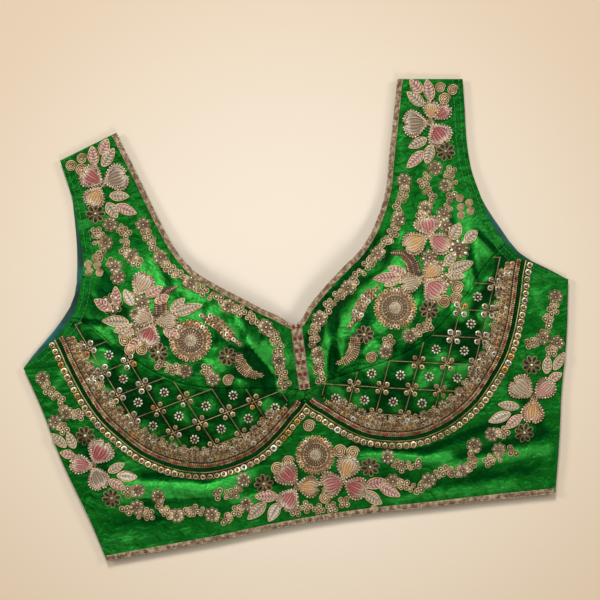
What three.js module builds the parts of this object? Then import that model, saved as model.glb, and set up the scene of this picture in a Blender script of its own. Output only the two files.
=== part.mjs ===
// Choli blouse, lying on its back with the front up. Millimetres, +Z up.
// x runs along the hem to the right, y from hem to shoulder, z up from the surface it lies on.
// The front is one height field: it rests on the back at its edges and rises over two padded cups.

import * as THREE from 'three';

// ---------- thicknesses and levels ----------
const SEAM_GAP = 0.3;
const BACK = { low: 0, high: 1.2 };
const LINING = { low: 1.5, high: 2.5 };
const LINING_INSET = 0.5;
const FRONT_WALL = 1.6;
const FRONT_REST = 4.6;
const NECK_BRAID = { margin: 0, width: 4.7, wall: 1.2, above: 0.4 };
const HEM_BRAID = { margin: 0.4, width: 4.6, wall: 1.2, above: 0.4 };
const CORD = { radius: 1.4, halfSides: 3, rise: 2.3, steps: 40 };
const PLACKET = { width: 24, length: 118, low: 1.5, high: 2.5, liningClear: 0.3, hemMargin: 6 };

// ---------- lift of the front off the back ----------
const LIFT = { height: 6, hem: [-110, -40], side: [150, 225], shoulder: [90, 200] };
const CUP = { x: 88, y: 32, height: 38, steepness: 1.35, crown: 0.35 };

// How far the cup's pad reaches from its apex above the cup seam: angle in degrees from the side.
const CUP_REACH = [
  { angle: 35, reach: 126 },
  { angle: 50, reach: 128 },
  { angle: 75, reach: 122 },
  { angle: 100, reach: 100 },
  { angle: 125, reach: 92 },
  { angle: 150, reach: 93 },
  { angle: 180, reach: 92 },
];

// Soft creases of the front: from (ax, ay) to (bx, by), half width and height (down is negative).
const CREASES = [
  { ax: 20, ay: 34, bx: 84, by: 92, width: 7, height: 1.2 },
  { ax: 14, ay: 44, bx: 62, by: 100, width: 6, height: -1.1 },
  { ax: -18, ay: 36, bx: -92, by: 86, width: 8, height: 1.2 },
  { ax: -12, ay: 24, bx: -70, by: 58, width: 6, height: -0.9 },
  { ax: -150, ay: -58, bx: -62, by: -76, width: 9, height: 1.3 },
  { ax: 60, ay: -84, bx: 178, by: -88, width: 9, height: -1.0 },
  { ax: 150, ay: 116, bx: 128, by: 74, width: 8, height: 1.1 },
  { ax: -152, ay: 108, bx: -126, by: 72, width: 7, height: -0.9 },
];

// ---------- outline of the front, as laid ----------
const SLIT = [
  { x: 1.2, y: 6 },
  { x: 2.4, y: 61 },
];
const NECK = {
  right: [
    { x: 2.4, y: 61 },
    { x: 7.7, y: 65 },
    { x: 15.3, y: 74.5 },
    { x: 27.8, y: 86 },
    { x: 46.7, y: 101 },
    { x: 65.5, y: 115 },
    { x: 80.9, y: 134 },
    { x: 93.7, y: 159.5 },
    { x: 100.6, y: 185 },
    { x: 107.7, y: 211 },
    { x: 118.5, y: 251.3 },
  ],
  left: [
    { x: 2.4, y: 61 },
    { x: -2.1, y: 63.5 },
    { x: -11.6, y: 71 },
    { x: -24.9, y: 80 },
    { x: -42.3, y: 93 },
    { x: -59.9, y: 106 },
    { x: -74.4, y: 119 },
    { x: -86.4, y: 138 },
    { x: -96.5, y: 165 },
    { x: -107.4, y: 201 },
    { x: -120.9, y: 243.7 },
  ],
};
const ARMHOLE = {
  right: [
    { x: 172.7, y: 242.7 },
    { x: 170.7, y: 220 },
    { x: 168, y: 192 },
    { x: 168, y: 167 },
    { x: 172, y: 144 },
    { x: 175.7, y: 125 },
    { x: 183, y: 108 },
    { x: 189.5, y: 97 },
    { x: 199, y: 86 },
    { x: 215, y: 75 },
    { x: 234, y: 63 },
  ],
  left: [
    { x: -171.4, y: 227.9 },
    { x: -166, y: 193 },
    { x: -165.3, y: 172 },
    { x: -165.7, y: 141 },
    { x: -170, y: 124.5 },
    { x: -174.5, y: 110 },
    { x: -181.6, y: 98 },
    { x: -195, y: 84 },
    { x: -205, y: 75 },
    { x: -229, y: 61 },
  ],
};
const SIDE = {
  right: [
    { x: 234, y: 63 },
    { x: 224.4, y: 13 },
    { x: 213.5, y: -29.6 },
    { x: 206, y: -66 },
    { x: 195, y: -113 },
  ],
  left: [
    { x: -229, y: 61 },
    { x: -219, y: 24 },
    { x: -210, y: -18.6 },
    { x: -194, y: -73 },
    { x: -185, y: -110 },
  ],
};
const HEM = [
  { x: -185, y: -110 },
  { x: -140, y: -109 },
  { x: -93, y: -108 },
  { x: -46, y: -105.5 },
  { x: 0, y: -104.5 },
  { x: 46, y: -105.5 },
  { x: 93, y: -108 },
  { x: 140, y: -110 },
  { x: 195, y: -113 },
];

// ---------- seams of the cup, one half; the other is its mirror ----------
const CUP_SEAM = [
  { x: 15, y: 10 },
  { x: 35, y: 14 },
  { x: 75, y: 21 },
  { x: 100, y: 29.5 },
  { x: 120, y: 42 },
  { x: 135, y: 55 },
  { x: 148, y: 66 },
  { x: 162, y: 82 },
  { x: 178, y: 95 },
];
const CUP_EDGE = [
  { x: 6, y: -8 },
  { x: 13, y: -13.5 },
  { x: 26, y: -25 },
  { x: 46, y: -38.5 },
  { x: 68, y: -45 },
  { x: 84, y: -46.5 },
  { x: 96, y: -45.5 },
  { x: 117, y: -39 },
  { x: 140, y: -25 },
  { x: 156, y: -8.5 },
  { x: 169, y: 8 },
  { x: 178, y: 25 },
  { x: 185, y: 43 },
  { x: 190.5, y: 60 },
  { x: 194, y: 73 },
];
const CENTRE_FRONT = { x: 0, y: -1 };
// Height on the armhole at which the cup seam and the cup's lower edge end.
const ARMHOLE_STOPS = { right: { seam: 100.5, edge: 86 }, left: { seam: 96, edge: 82 } };

// ---------- outline of the back ----------
const BACK_ARMHOLE = {
  right: [
    { x: 172.2, y: 242 },
    { x: 170, y: 220 },
    { x: 168, y: 192 },
    { x: 169, y: 158 },
    { x: 173.2, y: 140.5 },
    { x: 178.4, y: 127.5 },
    { x: 184.7, y: 114.3 },
    { x: 190.5, y: 102 },
    { x: 200, y: 88 },
    { x: 216, y: 76.5 },
    { x: 233.4, y: 63.4 },
  ],
  left: [
    { x: -171, y: 227.2 },
    { x: -166.6, y: 200 },
    { x: -167, y: 185 },
    { x: -168.5, y: 160 },
    { x: -171, y: 140 },
    { x: -176, y: 118 },
    { x: -183, y: 105 },
    { x: -193, y: 94 },
    { x: -203.5, y: 84 },
    { x: -215, y: 74.5 },
    { x: -228.6, y: 61.6 },
  ],
};
const BACK_NECK = {
  right: [
    { x: 0, y: 20 },
    { x: 35, y: 33 },
    { x: 60, y: 60 },
    { x: 88, y: 120 },
    { x: 102, y: 175 },
    { x: 119.5, y: 250.6 },
  ],
  left: [
    { x: 0, y: 20 },
    { x: -35, y: 33 },
    { x: -60, y: 60 },
    { x: -88, y: 120 },
    { x: -102, y: 175 },
    { x: -121.6, y: 243 },
  ],
};

// ---------- grid counts of the faceted cloth ----------
// Panels that meet at a seam share its points, so their chords keep the same gap.
const UPPER_ROWS = { slit: 4, neck: 21 };
const SEAM_STEPS = 18;
const LOWER_COLUMNS = 6;
const BAND_SIDE_STEPS = 7;
const BAND_COLUMNS = 5;
const BACK_STEPS = { neck: 12, armhole: 16, side: 6, hem: 6 };

// ---------- finishes ----------
const SATIN = new THREE.MeshStandardMaterial({ color: 0x007d2d, roughness: 0.4, metalness: 0 });
const TEAL = new THREE.MeshStandardMaterial({ color: 0x0a5f55, roughness: 0.6, metalness: 0 });
const CORD_SATIN = new THREE.MeshStandardMaterial({ color: 0x0c6a30, roughness: 0.45, metalness: 0 });
const GOLD_BRAID = new THREE.MeshStandardMaterial({ color: 0xaa8c6e, roughness: 0.5, metalness: 0.4 });

// ---------- plan curves ----------
const plan = (row) => new THREE.Vector3(row.x, row.y, 0);

function smooth(rows) {
  return new THREE.CatmullRomCurve3(rows.map(plan), false, 'centripetal');
}

/** Points along a curve at equal arc length, from share a to share b of its length. */
function along(curve, count, a = 0, b = 1) {
  const points = [];
  for (let i = 0; i <= count; i++) {
    points.push(curve.getPointAt(a + (b - a) * (i / count)));
  }
  return points;
}

/** Share of the length at which a curve that runs down the body passes height y. */
function shareAtHeight(curve, y) {
  let low = 0;
  let high = 1;
  for (let i = 0; i < 40; i++) {
    const middle = (low + high) / 2;
    if (curve.getPointAt(middle).y > y) {
      low = middle;
    } else {
      high = middle;
    }
  }
  return (low + high) / 2;
}

const armhole = { right: smooth(ARMHOLE.right), left: smooth(ARMHOLE.left) };
const sign = { right: 1, left: -1 };

function cupLine(side, rows, start, stopHeight) {
  const end = armhole[side].getPointAt(shareAtHeight(armhole[side], stopHeight));
  const middle = rows.map((row) => ({ x: row.x * sign[side], y: row.y }));
  return smooth([start, ...middle, { x: end.x, y: end.y }]);
}

const cupSeam = {};
const cupEdge = {};
for (const side of ['right', 'left']) {
  cupSeam[side] = cupLine(side, CUP_SEAM, SLIT[0], ARMHOLE_STOPS[side].seam);
  cupEdge[side] = cupLine(side, CUP_EDGE, CENTRE_FRONT, ARMHOLE_STOPS[side].edge);
}

// ---------- height of the front ----------
const smoothstep = THREE.MathUtils.smoothstep;

/** Angle and distance from the right cup's apex, angle in degrees, 0 to the side, 90 to the shoulder. */
function fromApex(x, y) {
  const dx = x - CUP.x;
  const dy = y - CUP.y;
  return { angle: THREE.MathUtils.radToDeg(Math.atan2(dy, dx)), reach: Math.hypot(dx, dy) };
}

/** Reach of the pad all round: the cup's lower edge below, the reach table above. */
function reachTable() {
  const edge = along(cupEdge.right, CORD.steps).map((point) => fromApex(point.x, point.y));
  const upper = new THREE.CatmullRomCurve3(
    [edge[edge.length - 1], ...CUP_REACH, { angle: edge[0].angle + 360, reach: edge[0].reach }]
      .map((row) => new THREE.Vector3(row.angle, row.reach, 0)),
    false,
    'centripetal',
  );
  const crown = along(upper, CORD.steps).map((point) => ({ angle: point.x, reach: point.y }));
  return [...edge, ...crown.slice(1)];
}

const reachRows = reachTable();

function reachAt(angle) {
  const turned = angle < reachRows[0].angle ? angle + 360 : angle;
  for (let i = 1; i < reachRows.length; i++) {
    if (turned <= reachRows[i].angle) {
      const low = reachRows[i - 1];
      const high = reachRows[i];
      const share = (turned - low.angle) / (high.angle - low.angle);
      return low.reach + (high.reach - low.reach) * share;
    }
  }
  return reachRows[reachRows.length - 1].reach;
}

/** Dome of the right cup: a cap that is round below and fades gently towards the strap. */
function dome(x, y) {
  const here = fromApex(x, y);
  const inside = 1 - (here.reach / reachAt(here.angle)) ** 2;
  if (inside <= 0) {
    return 0;
  }
  const power = CUP.steepness + CUP.crown * Math.sin(THREE.MathUtils.degToRad(here.angle));
  return CUP.height * inside ** power;
}

/** A crease is a soft ridge along a segment, fading with the square of the distance from it. */
function crease(row, x, y) {
  const length = Math.hypot(row.bx - row.ax, row.by - row.ay);
  const wayX = (row.bx - row.ax) / length;
  const wayY = (row.by - row.ay) / length;
  const run = (x - row.ax) * wayX + (y - row.ay) * wayY;
  const across = (y - row.ay) * wayX - (x - row.ax) * wayY;
  const past = run - Math.min(Math.max(run, 0), length);
  return row.height * Math.exp(-((across / row.width) ** 2) - (past / (2 * row.width)) ** 2);
}

/** Height of the front's upper face. */
function frontTop(x, y) {
  const lift = LIFT.height
    * smoothstep(y, LIFT.hem[0], LIFT.hem[1])
    * (1 - smoothstep(Math.abs(x), LIFT.side[0], LIFT.side[1]))
    * (1 - smoothstep(y, LIFT.shoulder[0], LIFT.shoulder[1]));
  const folds = CREASES.reduce((sum, row) => sum + crease(row, x, y), 0);
  return FRONT_REST + lift + dome(x, y) + dome(-x, y) + folds;
}

function onFront(point) {
  return new THREE.Vector3(point.x, point.y, frontTop(point.x, point.y));
}

// ---------- closed meshes ----------
function closedMesh(name, vertices, faces, material) {
  let volume = 0;
  for (const [a, b, c] of faces) {
    volume += vertices[a].dot(new THREE.Vector3().crossVectors(vertices[b], vertices[c]));
  }
  const outward = volume > 0 ? faces : faces.map(([a, b, c]) => [a, c, b]);
  const geometry = new THREE.BufferGeometry();
  geometry.setAttribute(
    'position',
    new THREE.Float32BufferAttribute(vertices.flatMap((v) => [v.x, v.y, v.z]), 3),
  );
  geometry.setIndex(outward.flat());
  geometry.computeVertexNormals();
  const mesh = new THREE.Mesh(geometry, material);
  mesh.name = name;
  return mesh;
}

/** A cloth wall: its upper face goes through rows of points, its lower face lies a wall below. */
function clothWall(name, rows, wall, material) {
  const width = rows[0].length;
  const count = rows.length * width;
  const upper = rows.flat();
  const lower = upper.map((p) => new THREE.Vector3(p.x, p.y, p.z - wall));
  const faces = [];
  for (let i = 0; i < rows.length - 1; i++) {
    for (let j = 0; j < width - 1; j++) {
      const a = i * width + j;
      const b = a + 1;
      const c = a + width;
      const d = c + 1;
      faces.push([a, b, d], [a, d, c]);
      faces.push([a + count, d + count, b + count], [a + count, c + count, d + count]);
    }
  }
  const rim = [];
  for (let j = 0; j < width - 1; j++) {
    rim.push([j + 1, j]);
    rim.push([(rows.length - 1) * width + j, (rows.length - 1) * width + j + 1]);
  }
  for (let i = 0; i < rows.length - 1; i++) {
    rim.push([i * width, (i + 1) * width]);
    rim.push([(i + 2) * width - 1, (i + 1) * width - 1]);
  }
  for (const [a, b] of rim) {
    faces.push([a, b, b + count], [a, b + count, a + count]);
  }
  return closedMesh(name, [...upper, ...lower], faces, material);
}

/** Rows of points on the front between two matching plan paths, each end drawn in from its path. */
function rowsBetween(inner, outer, columns, drawInner, drawOuter) {
  return inner.map((start, i) => {
    const end = outer[i];
    const length = start.distanceTo(end);
    const first = drawInner / length;
    const last = 1 - drawOuter / length;
    const row = [];
    for (let j = 0; j <= columns; j++) {
      const share = first + (last - first) * (j / columns);
      row.push(onFront(new THREE.Vector3().lerpVectors(start, end, share)));
    }
    return row;
  });
}

/**
 * Braid laid on a panel along one edge: each row takes two points from the panel's own first
 * facet, a margin and a full width in from the edge, moved up off the cloth.
 */
function edgeBraid(name, panelRows, size) {
  const rows = panelRows.map((row, i) => {
    const before = panelRows[Math.max(i - 1, 0)][0];
    const after = panelRows[Math.min(i + 1, panelRows.length - 1)][0];
    const way = new THREE.Vector3().subVectors(after, before).setZ(0).normalize();
    const across = new THREE.Vector3().subVectors(row[1], row[0]);
    const inward = Math.abs(across.x * way.y - across.y * way.x);
    return [size.margin, size.margin + size.width].map((distance) => {
      const point = new THREE.Vector3().copy(row[0]).addScaledVector(across, distance / inward);
      point.z += size.above + size.wall;
      return point;
    });
  });
  return clothWall(name, rows, size.wall, GOLD_BRAID);
}

// ---------- pieces ----------
/** The upper cup's neck edge, from the foot of the slit up to the shoulder. */
function neckEdge(side) {
  const slit = new THREE.LineCurve3(plan(SLIT[0]), plan(SLIT[1]));
  const neck = smooth(NECK[side]);
  return [...along(slit, UPPER_ROWS.slit), ...along(neck, UPPER_ROWS.neck).slice(1)]
    .map((p) => new THREE.Vector3(p.x + sign[side] * SEAM_GAP / 2, p.y, 0));
}

/**
 * Upper cup and strap: a patch blended between its four edges. Neck edge and armhole edge are
 * joined row by row, and the sag of the cup seam below its chord is added, fading to the shoulder.
 */
function upperCupRows(side) {
  const rowCount = UPPER_ROWS.slit + UPPER_ROWS.neck;
  const neck = neckEdge(side);
  const stop = shareAtHeight(armhole[side], ARMHOLE_STOPS[side].seam);
  const arm = along(armhole[side], rowCount, stop, 0);
  const seam = along(cupSeam[side], SEAM_STEPS);
  const chordStart = seam[0];
  const chordEnd = seam[SEAM_STEPS];
  const rows = neck.map((start, i) => {
    const fade = (1 - i / rowCount) ** 2;
    return seam.map((point, j) => {
      const share = j / SEAM_STEPS;
      const sag = new THREE.Vector3().lerpVectors(chordStart, chordEnd, share).sub(point);
      const here = new THREE.Vector3().lerpVectors(start, arm[i], share);
      return here.addScaledVector(sag, -fade);
    });
  });
  for (const point of rows[0]) {
    point.y += SEAM_GAP / 2;
  }
  return rows.map((row) => row.map(onFront));
}

/** Lower cup: ruled between the cup's lower edge and the cup seam, from centre front to armhole. */
function lowerCup(side) {
  const edge = along(cupEdge[side], SEAM_STEPS);
  const seam = along(cupSeam[side], SEAM_STEPS);
  edge[0].x += sign[side] * SEAM_GAP / 2;
  seam[0].x += sign[side] * SEAM_GAP / 2;
  const rows = rowsBetween(edge, seam, LOWER_COLUMNS, SEAM_GAP / 2, SEAM_GAP / 2);
  return clothWall(`lower_cup_${side}`, rows, FRONT_WALL, SATIN);
}

function hemPoints() {
  return along(smooth(HEM), 2 * (SEAM_STEPS - BAND_SIDE_STEPS));
}

/** Front band: ruled from the side seams and the hem in to both cups' lower edges. */
function bandRows() {
  const inner = [
    ...along(cupEdge.left, SEAM_STEPS, 1, 0),
    ...along(cupEdge.right, SEAM_STEPS).slice(1),
  ];
  const outer = [
    ...along(smooth(SIDE.left), BAND_SIDE_STEPS),
    ...hemPoints().slice(1),
    ...along(smooth(SIDE.right), BAND_SIDE_STEPS, 1, 0).slice(1),
  ];
  return rowsBetween(outer, inner, BAND_COLUMNS, 0, SEAM_GAP / 2);
}

/** Cord piping that covers the seam between the cup and the band. */
function cupPiping(side) {
  const path = along(cupEdge[side], CORD.steps, 0.012, 0.985)
    .map((p) => onFront(p).setZ(frontTop(p.x, p.y) + CORD.rise));
  const section = new THREE.Shape();
  section.absarc(0, 0, CORD.radius, 0, 2 * Math.PI);
  const geometry = new THREE.ExtrudeGeometry(section, {
    steps: CORD.steps,
    curveSegments: CORD.halfSides,
    bevelEnabled: false,
    extrudePath: new THREE.CatmullRomCurve3(path, false, 'centripetal'),
  });
  const mesh = new THREE.Mesh(geometry, CORD_SATIN);
  mesh.name = `cup_piping_${side}`;
  return mesh;
}

/** Half of the back's outline as two paths: from the centre to the shoulder, and round the side. */
function backPaths(side) {
  const centre = sign[side] * SEAM_GAP / 2;
  const neck = along(smooth(BACK_NECK[side]), BACK_STEPS.neck);
  const hemShare = hemAtCentre();
  const hem = along(smooth(HEM), BACK_STEPS.hem, hemShare, side === 'right' ? 1 : 0);
  const outer = [
    ...hem,
    ...along(smooth(SIDE[side]), BACK_STEPS.side, 1, 0).slice(1),
    ...along(smooth(BACK_ARMHOLE[side]), BACK_STEPS.armhole, 1, 0).slice(1),
  ];
  neck[0].x = centre;
  outer[0].x = centre;
  return { neck, outer };
}

function hemAtCentre() {
  const hem = smooth(HEM);
  let low = 0;
  let high = 1;
  for (let i = 0; i < 40; i++) {
    const middle = (low + high) / 2;
    if (hem.getPointAt(middle).x < 0) {
      low = middle;
    } else {
      high = middle;
    }
  }
  return (low + high) / 2;
}

/** A flat layer of the back: its outline extruded between two levels. */
function backLayer(name, side, level, material, inset, centreClear) {
  const { neck, outer } = backPaths(side);
  const outline = [...outer, ...neck.slice().reverse()].map((p) => new THREE.Vector2(p.x, p.y));
  const drawn = inset > 0 ? insetOutline(outline, inset) : outline;
  for (const point of drawn) {
    if (Math.abs(point.x) < centreClear) {
      point.x = sign[side] * centreClear;
    }
  }
  const geometry = new THREE.ExtrudeGeometry(new THREE.Shape(drawn), {
    depth: level.high - level.low,
    steps: 1,
    bevelEnabled: false,
  });
  geometry.translate(0, 0, level.low);
  const mesh = new THREE.Mesh(geometry, material);
  mesh.name = name;
  return mesh;
}

/** Each corner of a closed outline moved inwards along the mean normal of its two edges. */
function insetOutline(points, distance) {
  const turn = THREE.ShapeUtils.area(points) > 0 ? 1 : -1;
  return points.map((point, i) => {
    const before = points[(i + points.length - 1) % points.length];
    const after = points[(i + 1) % points.length];
    const way = new THREE.Vector2().subVectors(after, before).normalize();
    const inward = distance * turn;
    return new THREE.Vector2(point.x - way.y * inward, point.y + way.x * inward);
  });
}

function hookPlacket() {
  const geometry = new THREE.BoxGeometry(PLACKET.width, PLACKET.length, PLACKET.high - PLACKET.low);
  const foot = HEM[4].y + PLACKET.hemMargin;
  geometry.translate(0, foot + PLACKET.length / 2, (PLACKET.high + PLACKET.low) / 2);
  const mesh = new THREE.Mesh(geometry, SATIN);
  mesh.name = 'hook_placket';
  return mesh;
}

// ---------- the garment ----------
const garment = new THREE.Group();
for (const side of ['left', 'right']) {
  garment.add(backLayer(`back_${side}`, side, BACK, SATIN, 0, SEAM_GAP / 2));
  const clear = PLACKET.width / 2 + PLACKET.liningClear;
  garment.add(backLayer(`back_lining_${side}`, side, LINING, TEAL, LINING_INSET, clear));
  const upper = upperCupRows(side);
  garment.add(clothWall(`upper_cup_${side}`, upper, FRONT_WALL, SATIN));
  garment.add(edgeBraid(`neck_braid_${side}`, upper.slice(1), NECK_BRAID));
  garment.add(lowerCup(side));
  garment.add(cupPiping(side));
}
garment.add(hookPlacket());
const band = bandRows();
garment.add(clothWall('front_band', band, FRONT_WALL, SATIN));
const hemRows = band.slice(BAND_SIDE_STEPS, band.length - BAND_SIDE_STEPS);
garment.add(edgeBraid('hem_braid', hemRows, HEM_BRAID));

// The origin is the middle of the garment's box, on the surface it lies on.
const box = new THREE.Box3().setFromObject(garment);
const middle = box.getCenter(new THREE.Vector3());
garment.position.set(-middle.x, -middle.y, -box.min.z);

export default garment;
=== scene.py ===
"""Choli blouse laid flat on its back: green silk satin, padded cups, piping, braid and beadwork.

Shapes are worked out in millimetres on the blouse's own plan: x along the hem to the right,
y from hem to shoulder, (0, -1) where both cup pipings meet at centre front, z up from the surface.
"""

import math

import bpy
import numpy as np
from bpy.props import FloatProperty, FloatVectorProperty, PointerProperty
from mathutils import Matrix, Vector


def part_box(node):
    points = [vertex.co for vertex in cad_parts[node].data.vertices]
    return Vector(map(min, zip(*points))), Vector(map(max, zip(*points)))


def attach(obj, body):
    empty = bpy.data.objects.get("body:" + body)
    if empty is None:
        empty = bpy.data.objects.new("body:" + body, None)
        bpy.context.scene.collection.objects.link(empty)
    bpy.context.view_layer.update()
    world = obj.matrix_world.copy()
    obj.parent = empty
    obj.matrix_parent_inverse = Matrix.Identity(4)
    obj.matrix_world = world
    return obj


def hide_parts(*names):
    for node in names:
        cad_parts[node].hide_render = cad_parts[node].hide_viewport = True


bl_info = {
    "name": "Choli Blouse",
    "version": (1, 0, 0),
    "blender": (4, 5, 0),
    "location": "3D View > Sidebar > Choli",
    "description": "Builds a padded, embroidered choli blouse laid flat, round its packed frame",
    "category": "Object",
}

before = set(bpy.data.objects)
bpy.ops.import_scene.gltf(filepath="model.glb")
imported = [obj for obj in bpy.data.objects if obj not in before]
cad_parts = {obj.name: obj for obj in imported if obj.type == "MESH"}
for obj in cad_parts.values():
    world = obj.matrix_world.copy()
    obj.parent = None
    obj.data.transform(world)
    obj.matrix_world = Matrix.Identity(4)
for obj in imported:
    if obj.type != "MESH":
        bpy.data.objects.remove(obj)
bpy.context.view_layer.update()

MM = 0.001
RIGHT = 1
LEFT = -1
SIDES = ((RIGHT, "right"), (LEFT, "left"))

# ---------- outlines, in millimetres: rows of x, y ----------
SLIT = ((1.2, 6), (2.4, 61))
NECK = {
    RIGHT: ((2.4, 61), (7.7, 65), (15.3, 74.5), (27.8, 86), (46.7, 101), (65.5, 115),
            (80.9, 134), (93.7, 159.5), (100.6, 185), (107.7, 211), (118.5, 251.3)),
    LEFT: ((2.4, 61), (-2.1, 63.5), (-11.6, 71), (-24.9, 80), (-42.3, 93), (-59.9, 106),
           (-74.4, 119), (-86.4, 138), (-96.5, 165), (-107.4, 201), (-120.9, 243.7)),
}
ARMHOLE = {
    RIGHT: ((172.7, 242.7), (170.7, 220), (168, 192), (168, 167), (172, 144), (175.7, 125),
            (183, 108), (189.5, 97), (199, 86), (215, 75), (234, 63)),
    LEFT: ((-171.4, 227.9), (-166, 193), (-165.3, 172), (-165.7, 141), (-170, 124.5),
           (-174.5, 110), (-181.6, 98), (-195, 84), (-205, 75), (-229, 61)),
}
SIDE_SEAM = {
    RIGHT: ((234, 63), (224.4, 13), (213.5, -29.6), (206, -66), (195, -113)),
    LEFT: ((-229, 61), (-219, 24), (-210, -18.6), (-194, -73), (-185, -110)),
}
HEM = ((-185, -110), (-140, -109), (-93, -108), (-46, -105.5), (0, -104.5), (46, -105.5),
       (93, -108), (140, -110), (195, -113))
CUP_SEAM = ((15, 10), (35, 14), (75, 21), (100, 29.5), (120, 42), (135, 55), (148, 66),
            (162, 82), (178, 95))
CUP_EDGE = ((6, -8), (13, -13.5), (26, -25), (46, -38.5), (68, -45), (84, -46.5), (96, -45.5),
            (117, -39), (140, -25), (156, -8.5), (169, 8), (178, 25), (185, 43), (190.5, 60),
            (194, 73))
CENTRE_FRONT = (0, -1)
SEAM_STOP = {RIGHT: 100.5, LEFT: 96}
EDGE_STOP = {RIGHT: 86, LEFT: 82}
BACK_ARMHOLE = {
    RIGHT: ((172.2, 242), (170, 220), (168, 192), (169, 158), (173.2, 140.5), (178.4, 127.5),
            (184.7, 114.3), (190.5, 102), (200, 88), (216, 76.5), (233.4, 63.4)),
    LEFT: ((-171, 227.2), (-166.6, 200), (-167, 185), (-168.5, 160), (-171, 140), (-176, 118),
           (-183, 105), (-193, 94), (-203.5, 84), (-215, 74.5), (-228.6, 61.6)),
}
BACK_NECK = {
    RIGHT: ((0, 20), (35, 33), (60, 60), (88, 120), (102, 175), (119.5, 250.6)),
    LEFT: ((0, 20), (-35, 33), (-60, 60), (-88, 120), (-102, 175), (-121.6, 243)),
}

# ---------- height of the front ----------
FRONT_REST = 4.6
LIFT = {"height": 6, "hem": (-110, -40), "side": (150, 225), "shoulder": (90, 200)}
CUP = {"x": 88, "y": 32, "height": 38, "steepness": 1.35, "crown": 0.35}
CUP_REACH = ((35, 126), (50, 128), (75, 122), (100, 100), (125, 92), (150, 93), (180, 92))

# Creases of the cloth: start x, y, end x, y, half width, height (a trough is negative).
BROAD_CREASES = (
    (20, 34, 84, 92, 7, 1.2), (14, 44, 62, 100, 6, -1.1), (-18, 36, -92, 86, 8, 1.2),
    (-12, 24, -70, 58, 6, -0.9), (-150, -58, -62, -76, 9, 1.3), (60, -84, 178, -88, 9, -1.0),
    (150, 116, 128, 74, 8, 1.1), (-152, 108, -126, 72, 7, -0.9),
)
FINE_CREASES = (
    (-45, 76, -34, 47, 2.2, 1.5), (-34, 47, -23, 27, 2.2, 1.7), (-23, 27, -18, 10, 2.2, 1.5),
    (-41, 54, -27, 14, 5, -2.2), (-64, 77, -38, 52, 3.2, 1.2), (-58, 60, -42, 34, 3.4, -1.2),
    (-120, 70, -70, 48, 4, -1.0), (-60, 30, -24, 20, 3.4, -1.3), (-108, 131, -101, 112, 2.4, 1.4),
    (-100, 126, -94, 108, 2.4, -1.3), (-92, 108, -70, 96, 3, 1.0), (-78, 46, -52, 24, 3, 1.1),
    (79, 95, 49, 83, 2.6, -1.4), (49, 83, 35, 71, 2.6, -1.5), (35, 71, 38, 57, 2.6, -1.4),
    (80, 122, 52, 93, 3.2, -1.1), (52, 93, 24, 71, 3.2, -1.2), (34, 54, 27, 24, 4.2, -2.3),
    (27, 60, 21, 18, 2.4, 1.5), (40, 66, 36, 30, 2.6, 1.2), (64, 70, 50, 28, 3.6, -1.3),
    (104, 66, 84, 28, 3.6, 1.1), (58, 34, 30, 18, 2.6, 1.0), (100, 120, 92, 92, 3, 1.1),
    (90, 124, 84, 104, 3, -1.1), (165, 113, 176, 98, 1.8, -2.0), (160, 112, 168, 98, 2.6, 1.0),
    (155, 100, 157, 78, 2.2, -1.6), (149, 92, 150, 70, 2.2, 1.2), (141, 134, 148, 104, 3.6, -1.2),
    (118, 150, 128, 186, 4, -0.6), (112, 178, 118, 236, 4, 0.7), (128, 160, 134, 196, 3, 0.6),
    (-150, 128, -140, 96, 3.6, -1.4), (-160, 112, -150, 92, 2.4, 1.3), (-172, 92, -150, 86, 2.2, -1.5),
    (-118, 150, -132, 190, 4, -0.6), (-112, 176, -120, 226, 4, 0.7), (-204, 40, -186, 66, 4, 1.2),
    (206, 52, 214, 20, 4, 1.2), (212, 44, 218, 24, 3.5, -0.8), (-206, 10, -176, -30, 5, -1.0),
    (-160, -49, -134, -55, 4.5, 1.3), (-134, -55, -90, -63.5, 4.5, 1.5), (-90, -63.5, -58, -57, 4.5, 1.3),
    (-140, -45, -92, -54, 3.2, -1.7), (-92, -54, -50, -47, 3.2, -1.6), (-150, -66, -84, -73, 4, -1.4),
    (-172, -80, -70, -84, 6, -1.1), (-176, -94, -86, -98, 6, 0.6), (-60, -70, -20, -62, 4, -1.0),
    (36, -47, 92, -61, 3.2, -1.6), (50, -58, 110, -68, 4, 1.5), (96, -60, 168, -44, 3.6, -1.4),
    (60, -97, 156, -99, 4.5, 1.3), (70, -90, 180, -92, 4, -1.2), (110, -78, 188, -74, 5, 1.4),
    (120, -70, 190, -64, 4, -1.2), (176, -22, 194, -60, 5, -1.0), (196, -70, 188, -104, 4, 0.9),
    (182, 62, 166, 60, 2.6, -1.4), (178, 34, 158, 44, 2.6, 1.2), (170, 78, 152, 62, 2.4, 1.2),
    (160, 60, 140, 40, 2.6, -1.2), (150, 30, 166, 40, 2.4, 1.1), (-182, 62, -160, 50, 2.4, 1.4),
    (-176, 48, -150, 38, 2.4, -1.3), (-168, 34, -140, 26, 2.4, 1.3), (-160, 70, -140, 58, 2.4, -1.2),
    (-150, 84, -128, 66, 2.4, 1.3),
)

# ---------- lattice of the lower cups, right cup ----------
LATTICE = {"x": 97.3, "y": 15.2, "across": (23.2, -5.0), "down": (-9.0, -21.2)}


def smoothstep(value, low, high):
    """Share of the way from low to high, eased by 3u² - 2u³."""
    u = np.clip((value - low) / (high - low), 0, 1)
    return u * u * (3 - 2 * u)


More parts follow.
